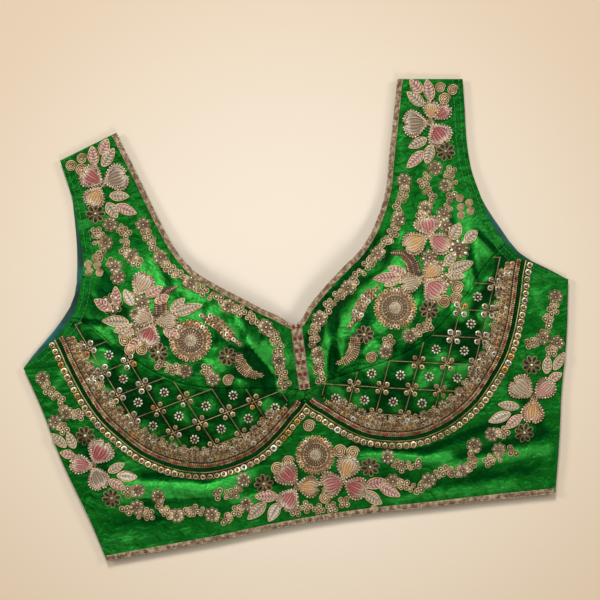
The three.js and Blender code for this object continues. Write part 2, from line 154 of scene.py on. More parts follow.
def curve(rows, steps=24):
    """A centripetal Catmull-Rom curve: Hermite arcs through the rows, each end tangent the
    difference of the neighbouring chords over knots that grow with the root of chord length."""
    rows = np.asarray(rows, float)
    p = np.vstack([2 * rows[0] - rows[1], rows, 2 * rows[-1] - rows[-2]])
    knot = np.sqrt(np.linalg.norm(np.diff(p, axis=0), axis=1))[:, None]
    before, start, end, after = p[:-3], p[1:-2], p[2:-1], p[3:]
    k0, k1, k2 = knot[:-2], knot[1:-1], knot[2:]
    leave = ((start - before) / k0 - (end - before) / (k0 + k1) + (end - start) / k1) * k1
    arrive = ((end - start) / k1 - (after - start) / (k1 + k2) + (after - end) / k2) * k1
    u = np.linspace(0, 1, steps, endpoint=False)[None, :, None]
    start, end, leave, arrive = (q[:, None, :] for q in (start, end, leave, arrive))
    arc = (2 * u**3 - 3 * u**2 + 1) * start + (u**3 - 2 * u**2 + u) * leave
    arc = arc + (3 * u**2 - 2 * u**3) * end + (u**3 - u**2) * arrive
    return np.vstack([arc.reshape(-1, p.shape[1]), rows[-1:]])


def run_of(path):
    """Length along a path at each of its points."""
    return np.concatenate([[0], np.cumsum(np.linalg.norm(np.diff(path, axis=0), axis=1))])


def walk(path, shares):
    """Points at shares of a path's length."""
    run = run_of(path)
    at = np.asarray(shares) * run[-1]
    return np.stack([np.interp(at, run, path[:, k]) for k in range(path.shape[1])], -1)


def paced(path, pitch, start=0.0, end=0.0):
    """Points along a path about a pitch apart, with margins left at its two ends."""
    total = run_of(path)[-1]
    count = max(int(round((total - start - end) / pitch)), 1)
    return walk(path, np.linspace(start / total, 1 - end / total, count + 1))


def headings(path):
    """Unit tangents of a path."""
    way = np.gradient(path, axis=0)
    return way / np.linalg.norm(way, axis=-1, keepdims=True)


def beside(path, distance):
    """The path moved to its left by a distance."""
    way = headings(path)
    return path + distance * np.stack([-way[..., 1], way[..., 0]], -1)


def share_at_height(path, y):
    """Share of a falling path's length at which it passes height y."""
    run = run_of(path)
    return np.interp(-y, -path[:, 1], run / run[-1])


def crowded(count, pull=0.8):
    """Shares from 0 to 1 that crowd towards both ends: u - pull sin(2πu) / 2π."""
    u = np.linspace(0, 1, count + 1)
    return u - pull * np.sin(2 * np.pi * u) / (2 * np.pi)


def mirrored(rows, side):
    """Rows of the right half, turned over for the left half."""
    return np.asarray(rows, float) * (side, 1)


ARMHOLE_PATH = {side: curve(rows) for side, rows in ARMHOLE.items()}


def cup_line(side, rows, start, stop):
    """A seam of the cup from centre front to the height on the armhole where it ends."""
    arm = ARMHOLE_PATH[side]
    end = walk(arm, [share_at_height(arm, stop)])
    return curve(np.vstack([[start], mirrored(rows, side), end]))


SEAM_PATH = {side: cup_line(side, CUP_SEAM, SLIT[0], SEAM_STOP[side]) for side in (RIGHT, LEFT)}
EDGE_PATH = {side: cup_line(side, CUP_EDGE, CENTRE_FRONT, EDGE_STOP[side]) for side in (RIGHT, LEFT)}


def reach_table():
    """Angle and distance of the pad's rim seen from the apex: the cup's edge, then the crown."""
    edge = walk(EDGE_PATH[RIGHT], np.linspace(0, 1, 41)) - (CUP["x"], CUP["y"])
    low = np.stack([np.degrees(np.arctan2(edge[:, 1], edge[:, 0])), np.hypot(*edge.T)], -1)
    crown = curve(np.vstack([low[-1:], CUP_REACH, [(low[0, 0] + 360, low[0, 1])]]))
    return np.vstack([low, crown[1:]])


REACH = reach_table()


def pad_share(x, y):
    """Distance from the right cup's apex over the pad's reach in that direction, and the angle."""
    dx, dy = x - CUP["x"], y - CUP["y"]
    angle = np.arctan2(dy, dx)
    reach = np.interp(np.degrees(angle), REACH[:, 0], REACH[:, 1], period=360)
    return np.hypot(dx, dy) / reach, angle


def dome(x, y):
    """The right cup: height (1 - ρ²)ⁿ, the power n growing from its foot to its crown."""
    share, angle = pad_share(x, y)
    power = CUP["steepness"] + CUP["crown"] * np.sin(angle)
    return CUP["height"] * np.clip(1 - share**2, 0, None) ** power


def creases(rows, x, y):
    """Soft ridges and troughs: each falls off as exp(-(distance / width)²) from its segment."""
    total = np.zeros(np.broadcast(x, y).shape)
    for ax, ay, bx, by, width, height in rows:
        length = math.hypot(bx - ax, by - ay)
        wx, wy = (bx - ax) / length, (by - ay) / length
        run = (x - ax) * wx + (y - ay) * wy
        across = (y - ay) * wx - (x - ax) * wy
        past = run - np.clip(run, 0, length)
        total += height * np.exp(-((across / width) ** 2) - (past / (2 * width)) ** 2)
    return total


def waves(x, y, seed, count, shortest, longest):
    """Crumple: plane waves of seeded directions, lengths and phases, over the root of their count."""
    rng = np.random.default_rng(seed)
    total = np.zeros(np.broadcast(x, y).shape)
    for _ in range(count):
        angle, length, phase = rng.uniform((0, shortest, 0), (np.pi, longest, 2 * np.pi))
        k = 2 * np.pi / length
        total += np.sin(k * (x * math.cos(angle) + y * math.sin(angle)) + phase)
    return total / math.sqrt(count)


def lattice_shares(x, y, side):
    """Coordinates in the lattice of a lower cup, whole numbers on its cords."""
    ax, ay = LATTICE["across"]
    dx, dy = LATTICE["down"]
    u, v = x * side - LATTICE["x"], y - LATTICE["y"]
    area = ax * dy - ay * dx
    return (u * dy - v * dx) / area, (ax * v - ay * u) / area


def under_seam(x, y):
    """How far below the right cup's seam a spot lies."""
    seam = SEAM_PATH[RIGHT]
    return np.interp(x, seam[:, 0], seam[:, 1]) - y


def quilted(x, y):
    """How far a point lies inside the quilted field of the lower cups, 0 to 1."""
    far = np.abs(x)
    share, _ = pad_share(far, y)
    return smoothstep(under_seam(far, y), 1, 6) * (1 - smoothstep(share, 0.86, 0.93))


def pucker(x, y):
    """Quilting: the cloth is pulled down along the lattice cords and puffs up between them."""
    side = np.where(x < 0, LEFT, RIGHT)
    p, q = lattice_shares(x, y, side)
    pull = np.zeros(np.shape(p))
    for share in (p, q):
        off = np.abs(share - np.round(share)) * math.hypot(*LATTICE["across"])
        pull += np.exp(-((off / 2.6) ** 2))
    return -0.9 * np.clip(pull, 0, 1.3) * quilted(x, y)


def folds(x, y):
    """Creases, crumple and quilting of the front, fading where it is pressed flat on the lining."""
    lift, domes = loft(x, y)
    loose = 0.25 + 0.75 * smoothstep(lift + domes, 0, 4)
    cups = smoothstep(domes, 1, 16)
    soft = waves(x, y, 5, 16, 26, 70)
    sharp = np.abs(waves(x + 5 * soft, y - 3 * soft, 11, 12, 20, 46)) - 0.7
    near = np.exp(-(((np.abs(x) - 148) / 34) ** 2) - ((y - 52) / 34) ** 2)
    crumple = (0.14 + 0.5 * cups) * soft + (0.05 + 0.75 * cups + 0.5 * near) * sharp
    return (creases(BROAD_CREASES + FINE_CREASES, x, y) + crumple) * loose + pucker(x, y)


def loft(x, y):
    """The front's lift off the lining and the height of both domes."""
    lift = LIFT["height"] * smoothstep(y, *LIFT["hem"])
    lift = lift * (1 - smoothstep(np.abs(x), *LIFT["side"]))
    lift = lift * (1 - smoothstep(y, *LIFT["shoulder"]))
    return lift, dome(x, y) + dome(-x, y)


def front(x, y):
    """Height of the front's face: rest, lift, both domes and the folds."""
    lift, domes = loft(x, y)
    return FRONT_REST + lift + domes + folds(x, y)


class HeightField:
    """The front's height on a fine plan grid, read back by linear interpolation."""

    def __init__(self, low, high, step):
        self.low, self.step = np.array(low, float), step
        xs = np.arange(low[0], high[0], step)
        ys = np.arange(low[1], high[1], step)
        self.z = front(*np.meshgrid(xs, ys))
        self.slope_y, self.slope_x = np.gradient(self.z, step)

    def read(self, grid, x, y):
        u = np.clip((x - self.low[0]) / self.step, 0, grid.shape[1] - 1.001)
        v = np.clip((y - self.low[1]) / self.step, 0, grid.shape[0] - 1.001)
        i, j = v.astype(int), u.astype(int)
        v, u = v - i, u - j
        near = grid[i, j] * (1 - u) + grid[i, j + 1] * u
        far = grid[i + 1, j] * (1 - u) + grid[i + 1, j + 1] * u
        return near * (1 - v) + far * v

    def drape(self, points):
        """Points of x, y, height above the cloth, moved out along the cloth's normal."""
        x, y, above = points[..., 0], points[..., 1], points[..., 2]
        sx, sy = self.read(self.slope_x, x, y), self.read(self.slope_y, x, y)
        tall = above / np.sqrt(1 + sx**2 + sy**2)
        return np.stack([x - sx * tall, y - sy * tall, self.read(self.z, x, y) + tall], -1)


FIELD = HeightField((-246, -128), (250, 264), 1.0)
BAND_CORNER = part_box("front_band")[0]
SHIFT = np.array([SIDE_SEAM[LEFT][0][0] - BAND_CORNER[0] / MM, HEM[-1][1] - BAND_CORNER[1] / MM, 0.0])


# ---------- meshes ----------
def make_object(name, points, faces, material, attributes):
    """A mesh object from arrays: points in millimetres on the plan, faces as quads or triangles."""
    faces = [block for block in faces if len(block)]
    sizes = np.concatenate([np.full(len(block), block.shape[1]) for block in faces])
    corners = np.concatenate([block.ravel() for block in faces])
    mesh = bpy.data.meshes.new(name)
    mesh.vertices.add(len(points))
    mesh.vertices.foreach_set("co", ((points - SHIFT) * MM).astype(np.float32).ravel())
    mesh.loops.add(len(corners))
    mesh.loops.foreach_set("vertex_index", corners.astype(np.int32))
    mesh.polygons.add(len(sizes))
    starts = np.concatenate([[0], np.cumsum(sizes)[:-1]])
    mesh.polygons.foreach_set("loop_start", starts.astype(np.int32))
    mesh.update(calc_edges=True)
    mesh.validate()
    mesh.polygons.foreach_set("use_smooth", np.ones(len(mesh.polygons), bool))
    for key, values in attributes.items():
        kind = "FLOAT" if values.ndim == 1 else "FLOAT_COLOR"
        layer = mesh.attributes.new(key, kind, "POINT")
        field = "value" if values.ndim == 1 else "color"
        layer.data.foreach_set(field, values.astype(np.float32).ravel())
    piece = bpy.data.objects.new(name, mesh)
    bpy.context.scene.collection.objects.link(piece)
    mesh.materials.append(material)
    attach(piece, "root")
    return piece


def grid_faces(rows, columns, around=False):
    """Quads of a grid of points, the last column joined to the first where it goes around."""
    i, j = np.meshgrid(np.arange(rows - 1), np.arange(columns - (0 if around else 1)), indexing="ij")
    after = (j + 1) % columns
    quads = [i * columns + j, i * columns + after, (i + 1) * columns + after, (i + 1) * columns + j]
    return np.stack(quads, -1).reshape(-1, 4)


def outward(points, faces):
    """Faces turned so that the closed mesh's volume is positive."""
    volume = 0.0
    for block in faces:
        for k in range(1, block.shape[1] - 1):
            a, b, c = points[block[:, 0]], points[block[:, k]], points[block[:, k + 1]]
            volume += np.einsum("ij,ij->", a, np.cross(b, c))
    return faces if volume > 0 else [block[:, ::-1] for block in faces]


def closed_pair(upper, lower):
    """Two matching grids of points, joined round their edges into one closed mesh."""
    rows, columns = upper.shape[:2]
    count = rows * columns
    index = np.arange(count).reshape(rows, columns)
    ring = np.concatenate([index[0, :-1], index[:-1, -1], index[-1, :0:-1], index[:0:-1, 0]])
    after = np.roll(ring, -1)
    face = grid_faces(rows, columns)
    rim = np.stack([after, ring, ring + count, after + count], -1)
    points = np.vstack([upper.reshape(-1, 3), lower.reshape(-1, 3)])
    return points, outward(points, [np.vstack([face, face[:, ::-1] + count, rim])])


def edge_distance(plan):
    """Distance of each point of a plan grid from the grid's nearest edge, along its lines."""
    far = []
    for axis in (0, 1):
        step = np.linalg.norm(np.diff(plan, axis=axis), axis=-1)
        run = np.insert(np.cumsum(step, axis=axis), 0, 0, axis=axis)
        far.append(np.minimum(run, np.take(run, [-1], axis=axis) - run))
    return np.minimum(*far)


def cloth_shell(plan, top, wall, roll):
    """A closed cloth wall over a plan grid. Its faces stand half a wall off the middle surface,
    and at distance d from the edge the wall is rounded by sqrt(1 - (1 - d / roll)²)."""
    short = np.clip(edge_distance(plan) / roll, 0, 1)
    half = wall / 2 * np.clip(np.sqrt(1 - (1 - short) ** 2), 0.12, 1)
    middle = top - wall / 2
    return closed_pair(np.dstack([plan, middle + half]), np.dstack([plan, middle - half]))


def swept(path, radius, above, sides=6, twist=0.0, pitch=1.6, flat=1.0):
    """A cord carried along plan paths: a round section whose radius swells by twist in a
    spiral of the pitch. Paths are (count, steps, 2); returns plan points with heights."""
    angle = np.linspace(0, 2 * np.pi, sides, endpoint=False)
    way = np.gradient(path, axis=1)
    way = way / np.maximum(np.linalg.norm(way, axis=-1, keepdims=True), 1e-9)
    left = np.stack([-way[..., 1], way[..., 0]], -1)
    step = np.linalg.norm(np.diff(path, axis=1), axis=-1)
    run = np.insert(np.cumsum(step, axis=1), 0, 0, axis=1)[..., None]
    size = radius * (1 + twist * np.cos(2 * np.pi * run / pitch - angle))
    plan = path[:, :, None, :] + (size * np.cos(angle))[..., None] * left[:, :, None, :]
    height = above + flat * (radius + size * np.sin(angle))
    return np.concatenate([plan, height[..., None]], -1)


class Work:
    """Beads, cords and threads of one kind, gathered as arrays and draped over the front."""

    def __init__(self):
        self.points, self.quads, self.tris, self.tints = [], [], [], []
        self.count = 0

    def add(self, points, quads, tris, tints):
        points = points.reshape(-1, 3)
        self.points.append(points)
        self.quads.append(np.asarray(quads, int).reshape(-1, 4) + self.count)
        self.tris.append(np.asarray(tris, int).reshape(-1, 3) + self.count)
        tints = np.broadcast_to(np.asarray(tints, float), (len(points), 3))
        self.tints.append(np.hstack([tints, np.ones((len(points), 1))]))
        self.count += len(points)

    def stamp(self, shape, places, tints):
        """Copies of a shape. Places are rows of x, y, turn, length, width, height, above."""
        points, quads, tris = shape
        places = np.atleast_2d(np.asarray(places, float))
        x, y, turn, length, width, height, above = places.T[..., None]
        u, v, w = points[:, 0] * length, points[:, 1] * width, points[:, 2] * height + above
        c, s = np.cos(turn), np.sin(turn)
        placed = np.stack([x + c * u - s * v, y + s * u + c * v, w], -1)
        step = (np.arange(len(places)) * len(points))[:, None, None]
        tints = np.broadcast_to(np.asarray(tints, float), (len(places), 3))
        self.add(placed, quads[None] + step, tris[None] + step, np.repeat(tints, len(points), 0))

    def cord(self, paths, radius, above, tint, sides=6, closed=False, **twist):
        """Cords along plan paths, their ends capped unless they close on themselves."""
        paths = np.asarray(paths, float)
        paths = paths[None] if paths.ndim == 2 else paths
        points = swept(paths, radius, above, sides, **twist)
        count, steps = points.shape[:2]
        faces = grid_faces(steps, sides, around=True)
        if closed:
            faces = faces[: (steps - 1) * sides]
            faces = np.where(faces >= (steps - 1) * sides, faces - (steps - 1) * sides, faces)
            points = points[:, :-1]
        else:
            fans = []
            for base, turn in ((0, -1), ((steps - 1) * sides, 1)):
                ring = base + np.arange(sides)[::turn]
                fans += [[ring[0], ring[k], ring[k + 1], ring[k + 2]] for k in range(1, sides - 2, 2)]
            faces = np.vstack([faces, fans])
        each = points.shape[1] * sides
        step = (np.arange(count) * each)[:, None, None]
        self.add(points, faces[:, ::-1][None] + step, [], tint)

    def patch(self, plan, above, tint):
        """A raised patch of thread over a plan grid: its face at a height, its foot on the cloth."""
        points, faces = closed_pair(np.dstack([plan, above]), np.dstack([plan, np.full(above.shape, -0.2)]))
        self.add(points, faces[0], [], np.vstack([tint.reshape(-1, 3)] * 2))

    def make(self, name, material, slot):
        points = FIELD.drape(np.vstack(self.points))
        faces = [np.vstack(self.quads), np.vstack(self.tris)]
        return make_object(name, points, faces, material, {"tint": np.vstack(self.tints)})


# ---------- small shapes, unit size ----------
def revolved(profile, sides):
    """A profile of radius and height turned about its axis, closed at a pole at each end."""
    profile = np.asarray(profile, float)
    angle = np.linspace(0, 2 * np.pi, sides, endpoint=False)
    ring = profile[1:-1]
    body = np.stack([
        ring[:, :1] * np.cos(angle),
        ring[:, :1] * np.sin(angle),
        np.repeat(ring[:, 1:], sides, axis=1),
    ], -1).reshape(-1, 3)
    count = len(body)
    points = np.vstack([body, [(0, 0, profile[0, 1]), (0, 0, profile[-1, 1])]])
    k = np.arange(sides)
    after = (k + 1) % sides
    top = count - sides
    tris = np.vstack([
        np.stack([after, k, np.full(sides, count)], -1),
        np.stack([top + k, top + after, np.full(sides, count + 1)], -1),
    ])
    return points, grid_faces(len(ring), sides, around=True), tris


def ringed(profile, sides):
    """A closed profile of radius and height turned about the axis, with a hole in the middle."""
    profile = np.asarray(profile, float)
    angle = np.linspace(0, 2 * np.pi, sides, endpoint=False)[:, None]
    rings = [profile[:, 0] * np.cos(angle), profile[:, 0] * np.sin(angle)]
    points = np.stack([*rings, np.broadcast_to(profile[:, 1], rings[0].shape)], -1).reshape(-1, 3)
    quads = grid_faces(sides + 1, len(profile), around=True) % (sides * len(profile))
    return points, outward(points, [quads])[0], np.zeros((0, 3), int)


def teardrop(steps):
    """Outline of a loop of cord that starts and ends at 0, 0 and is 1 long: its half width is
    0.62 sin(θ) sin(θ/2)."""
    angle = np.linspace(0, 2 * np.pi, steps)
    return np.stack([(1 - np.cos(angle)) / 2, 0.62 * np.sin(angle) * np.sin(angle / 2)], -1)


BEAD = revolved(((0, 0), (1, 0.4), (0.74, 1.25), (0, 1.7)), 6)
SEQUIN = ringed(((0.26, 0.15), (1, 0.3), (1, 0.5), (0.5, 0.3), (0.3, 0.42)), 9)
PLATE = revolved(((0, -0.5), (1, 0), (0.98, 0.8), (0.8, 1), (0.58, 1), (0.36, 1), (0.16, 1), (0, 1)), 14)
BUTTON = revolved(((0, 0), (1, 0.1), (0.88, 0.85), (0, 1)), 8)


# ---------- finishes ----------
BRAID_RIB = 0.00115  # metres from rib to rib of the braid


class Value:
    """An output socket; arithmetic on it adds Math nodes to its tree."""

    def __init__(self, finish, socket):
        self.finish, self.socket = finish, socket

    def maths(self, operation, *others):
        """The operation with this value first."""
        return self.finish.maths(operation, self, *others)

    def __add__(self, other):
        return self.maths("ADD", other)

    def __sub__(self, other):
        return self.maths("SUBTRACT", other)

    def __mul__(self, other):
        return self.maths("MULTIPLY", other)

    def __rsub__(self, other):
        return self.finish.maths("SUBTRACT", other, self)

    __radd__ = __add__
    __rmul__ = __mul__

    def between(self, low, high):
        """0 below low, 1 above high, eased in the middle."""
        settings = {"interpolation_type": "SMOOTHSTEP"}
        return self.finish.add("ShaderNodeMapRange", settings, {0: self, 1: low, 2: high})


class Finish:
    """A material with a Principled shader and the nodes that feed it."""

    def __init__(self, name, **constants):
        self.material = bpy.data.materials.new(name)
        self.material.use_nodes = True
        self.tree = self.material.node_tree
        self.tree.nodes.clear()
        self.shader = self.tree.nodes.new("ShaderNodeBsdfPrincipled")
        output = self.tree.nodes.new("ShaderNodeOutputMaterial")
        self.tree.links.new(self.shader.outputs[0], output.inputs[0])
        self.feed(self.shader, self.named(constants))

    @staticmethod
    def named(inputs):
        """Socket names from keywords: base_color is Base Color."""
        return {key.replace("_", " ").title().replace("Ior", "IOR"): value for key, value in inputs.items()}

    def feed(self, node, inputs):
        for key, value in inputs.items():
            socket = node.inputs[key]
            if isinstance(value, Value):
                self.tree.links.new(value.socket, socket)
            elif getattr(socket, "type", "") == "RGBA":
                socket.default_value = (*value[:3], 1)
            else:
                socket.default_value = value

    def add(self, kind, settings=None, inputs=None, output=0):
        """Any node: its type, its settings (set first), its sockets, and the output that is wanted."""
        node = self.tree.nodes.new(kind)
        for key, value in (settings or {}).items():
            if key == "stops":
                ramp = node.color_ramp
                while len(ramp.elements) < len(value):
                    ramp.elements.new(0.5)
                for element, (place, colour) in zip(ramp.elements, value):
                    element.position = place
                    element.color = (*colour, 1)
            else:
                setattr(node, key, value)
        self.feed(node, inputs or {})
        return Value(self, node.outputs[output])

    def maths(self, operation, *values):
        """A Math node on values or numbers, in their order."""
        return self.add("ShaderNodeMath", {"operation": operation}, dict(enumerate(values)))

    def attribute(self, name, output="Fac"):
        """An attribute of the mesh, as a number or as a Color."""
        return self.add("ShaderNodeAttribute", {"attribute_name": name}, {}, output)

    def place(self, scale=(1, 1, 1), turn=0.0):
        """Object coordinates, turned about z and stretched."""
        where = self.add("ShaderNodeTexCoord", output="Object")
        return self.add("ShaderNodeMapping", {}, {"Vector": where, "Rotation": (0, 0, turn), "Scale": scale})

    def noise(self, where, scale, detail=3.0, roughness=0.55, distortion=0.0):
        inputs = {"Vector": where, "Scale": scale, "Detail": detail, "Roughness": roughness}
        return self.add("ShaderNodeTexNoise", {}, {**inputs, "Distortion": distortion})

    def mix(self, share, low, high, blend="MIX"):
        """Two colours mixed by a share."""
        kinds = {"data_type": "RGBA", "blend_type": blend}
        return self.add("ShaderNodeMix", kinds, {0: share, 6: low, 7: high}, 2)

    def bump(self, height, depth, strength=1.0, under=None):
        """A height in shares of a depth in metres, over another bump."""
        inputs = {"Height": height, "Distance": depth, "Strength": strength}
        if under is not None:
            inputs["Normal"] = under
        return self.add("ShaderNodeBump", {}, inputs)

    def end(self, **inputs):
        self.feed(self.shader, self.named(inputs))
        return self.material


def settings():
    return bpy.context.scene.choli


def satin_finish():
    """Green silk satin: close greens under a green gloss, slubs along the weft, a fine weave and
    soft crumple, with painted shade in the troughs of its folds and a painted highlight on their
    ridges."""
    s = settings()
    f = Finish("green_satin", metallic=s.satin_gloss, sheen_weight=0.1, sheen_roughness=0.4,
               sheen_tint=s.satin_bright, specular_tint=s.satin_bright)
    plain = f.place()
    cloud = f.noise(plain, 16, 2, 0.5, 0.5)
    crumple = f.noise(plain, 62, 2, 0.5, 1.3)
    streak = f.noise(f.place((9, 60, 30), 0.1), 1, 2, 0.5, 0.6)
    small = f.noise(plain, 140, 2, 0.5, 0.4)
    slub = f.noise(f.place((90, 1400, 400)), 1, 3, 0.6)
    warp = f.noise(f.place((2600, 300, 400)), 1, 1)
    # Painted shade and highlight: the fold attribute darkens the green in the troughs of the folds and
    # brightens it on their ridges; the noises add random tone.
    tone_and_shade = cloud * 0.1 + streak * 0.13 + small * 0.12 + slub * 0.2 + f.attribute("fold") * 0.45
    depth = f.mix(tone_and_shade.between(0.36, 0.5), s.satin_shade, s.satin_mid)
    colour = f.mix(tone_and_shade.between(0.5, 0.64), depth, s.satin_bright)
    normal = f.bump(crumple, 0.0036)
    normal = f.bump(streak, 0.0018, 1.0, normal)
    normal = f.bump(small, 0.002, 1.0, normal)
    normal = f.bump(slub + warp * 0.5, 0.0003, 1.0, normal)
    return f.end(base_color=colour, roughness=0.3 + small * 0.18 + slub * 0.08, normal=normal)


def cloth_finish(name, colour, dark):
    """A plain woven cloth: two tones over a cloud, and the grid of its threads as bump."""
    f = Finish(name)
    plain = f.place()
    cloud = f.noise(plain, 30, 3)
    weft = f.noise(f.place((300, 2400, 300)), 1, 2)
    warp = f.noise(f.place((2400, 300, 300)), 1, 2)
    normal = f.bump(weft + warp, 0.0003, 1.0, f.bump(cloud, 0.004))
    return f.end(base_color=f.mix(cloud.between(0.35, 0.65), dark, colour), roughness=0.55 + cloud * 0.1,
                 normal=normal)


def metal_finish(name, rough, metallic, sparkle):
    """Beads, sequins and metal thread: their own tint, dulled in grains, with a worn gloss."""
    f = Finish(name)
    plain = f.place()
    grain = f.noise(plain, 900, 2)
    patina = f.noise(plain, 160, 3)
    share = patina.between(0.3, 0.62)
    dulled = f.mix(share, (0.47, 0.37, 0.24), (1, 0.96, 0.84))
    colour = f.mix(1.0, f.attribute("tint", "Color"), dulled, "MULTIPLY")
    normal = f.bump(grain, sparkle)
    return f.end(base_color=colour, roughness=rough + grain * 0.18, metallic=metallic + patina * 0.1,
                 normal=normal)


def thread_finish():
    """Silk thread fill: its own tint, streaked by fine stitches."""
    f = Finish("silk_thread", sheen_weight=0.2, sheen_roughness=0.4)
    plain = f.place()
    streak = f.noise(plain, 1500, 2)
    patch = f.noise(plain, 260, 2)
    light = f.mix(streak.between(0.3, 0.7), (0.5, 0.45, 0.4), (1.0, 1.0, 1.0))
    colour = f.mix(1.0, f.attribute("tint", "Color"), light, "MULTIPLY")
    return f.end(base_color=colour, roughness=0.42 + patch * 0.2, normal=f.bump(streak, 0.0004))


def braid_finish():
    """Flat braid: beige and dark red dashes along it, dark picot edges, ribs across as stitches."""
    s = settings()
    f = Finish("woven_braid")
    turns = f.attribute("run") * (2 * math.pi)
    dash = (turns * (1 / s.braid_repeat)).maths("SINE")
    wander = f.noise(f.place(), 320, 2)
    red = (dash + wander * 0.8 - 0.4).between(0.45, 0.75)
    edge = f.attribute("across").maths("ABSOLUTE").between(0.55, 0.8)
    rib = (turns * (1 / BRAID_RIB)).maths("SINE")
    red = red * (1 - edge * 0.75) * f.attribute("dashes")
    # Painted shade and highlight: dark gold in the hollows of the wander bump, light gold on its crests.
    gold = f.mix(wander.between(0.35, 0.65), s.gold_dark, s.gold_light)
    colour = f.mix(red, gold, s.braid_red)
    # Painted shade: darkened towards black in the grooves between the ribs.
    colour = f.mix((rib * 0.5 + 0.5).between(0.0, 0.35), f.mix(0.62, colour, (0.02, 0.012, 0.008)), colour)
    height = rib * 0.5 + wander
    return f.end(base_color=colour, roughness=0.45 + wander * 0.2, metallic=0.3 - red * 0.3,
                 normal=f.bump(height, 0.0006))


def floor_finish():
    """Pale warm card with a painted pool of light: lighter in the middle, darker out to the edges."""
    f = Finish("pale_floor", specular_ior_level=0.2, roughness=0.9)
    where = f.add("ShaderNodeTexCoord", output="Object")
    far = f.add("ShaderNodeVectorMath", {"operation": "LENGTH"}, {0: where}, "Value")
    return f.end(base_color=f.mix(far.between(0.06, 0.4), (0.88, 0.79, 0.67), (0.7, 0.565, 0.415)))


class Finishes(dict):
    """Finishes made when they are first asked for."""

    MAKERS = {
        "satin": satin_finish,
        "lining": lambda: cloth_finish("teal_lining", settings().lining_teal, (0.0, 0.03, 0.03)),
        "bead": lambda: metal_finish("antique_beads", 0.2, 0.38, 0.0002),
        "sequin": lambda: metal_finish("pale_sequins", 0.22, 0.5, 0.0001),
        "cord": lambda: metal_finish("metal_cord", 0.4, 0.25, 0.0004),
        "thread": thread_finish,
        "braid": braid_finish,
        "floor": floor_finish,
    }

    def __missing__(self, key):
        self[key] = self.MAKERS[key]()
        return self[key]


finishes = Finishes()

# ---------- colours of the embroidery, linear ----------
GOLD = (0.6, 0.4, 0.22)
PALE_GOLD = (0.86, 0.68, 0.44)
BRONZE = (0.46, 0.32, 0.2)
OLD_GOLD = (0.3, 0.2, 0.11)
# Painted shade: these two dark browns are stitching and cords laid in the gaps between beads, loops and
# coils, where shade falls.
SHADE_BROWN = (0.035, 0.02, 0.012)
SHADE_UMBER = (0.13, 0.085, 0.045)
IVORY = (0.95, 0.84, 0.68)
SILVER = (0.97, 0.94, 0.86)
STONE = (0.035, 0.035, 0.02)
COPPER = (0.36, 0.2, 0.13)
BEIGE = (0.52, 0.39, 0.24)
FAWN = (0.8, 0.62, 0.4)
PINK = (0.72, 0.3, 0.27)
ROSE = (0.56, 0.1, 0.11)
CRIMSON = (0.48, 0.02, 0.04)
YELLOW = (0.8, 0.42, 0.1)


def shaded(rng, colour, count, spread=0.26):
    """A colour, or a colour each, varied in lightness from piece to piece."""
    return np.clip(np.asarray(colour) * (1 + rng.uniform(-spread, spread, (count, 1))), 0, 1)


def beads(work, spots, radius, colour, rng, turn=0.0, stretch=1.0, above=0.0):
    """Beads at plan spots, a little uneven, stretched along their turn."""
    spots = np.atleast_2d(spots)
    count = len(spots)
    size = radius * rng.uniform(0.88, 1.12, count)
    places = np.column_stack([
        spots, np.broadcast_to(turn, count), size * stretch, size, size, np.full(count, above),
    ])
    work.stamp(BEAD, places, shaded(rng, colour, count))


def sequins(work, spots, radius, colour, rng, glint_share=0.2):
    """Cupped sequins at plan spots, some of them catching more light."""
    count = len(spots)
    size = radius * rng.uniform(0.92, 1.08, count)
    places = np.column_stack([spots, rng.uniform(0, 3, count), size, size, size * 0.8, np.full(count, 0.1)])
    tints = shaded(rng, colour, count, 0.25)
    tints = np.where(rng.uniform(size=(count, 1)) < glint_share, np.array(SILVER), tints)
    work.stamp(SEQUIN, places, tints)


def ring_spots(centre, radius, count, start=0.0):
    """Spots evenly round a circle, with their directions."""
    angle = start + 2 * np.pi * np.arange(count) / count
    spots = np.asarray(centre) + radius * np.stack([np.cos(angle), np.sin(angle)], -1)
    return spots, angle


def turned(outline, centre, angles, length, width, start=0.0):
    """Copies of an outline set round a centre, each turned to its angle."""
    u = start + outline[:, 0] * length
    v = outline[:, 1] * width
    angles = np.atleast_1d(angles)[:, None]
    x = centre[0] + np.cos(angles) * u - np.sin(angles) * v
    y = centre[1] + np.sin(angles) * u + np.cos(angles) * v
    return np.stack([x, y], -1)


LOOP = teardrop(11)
GOLDEN_ANGLE = 2.39996  # radians from one seed of a flower to the next


def set_out(x, y, turn, along, side):
    """Plan points of a motif from its foot at x, y: along its turn and to its left."""
    return np.stack([
        x + math.cos(turn) * along - math.sin(turn) * side,
        y + math.sin(turn) * along + math.cos(turn) * side,
    ], -1)


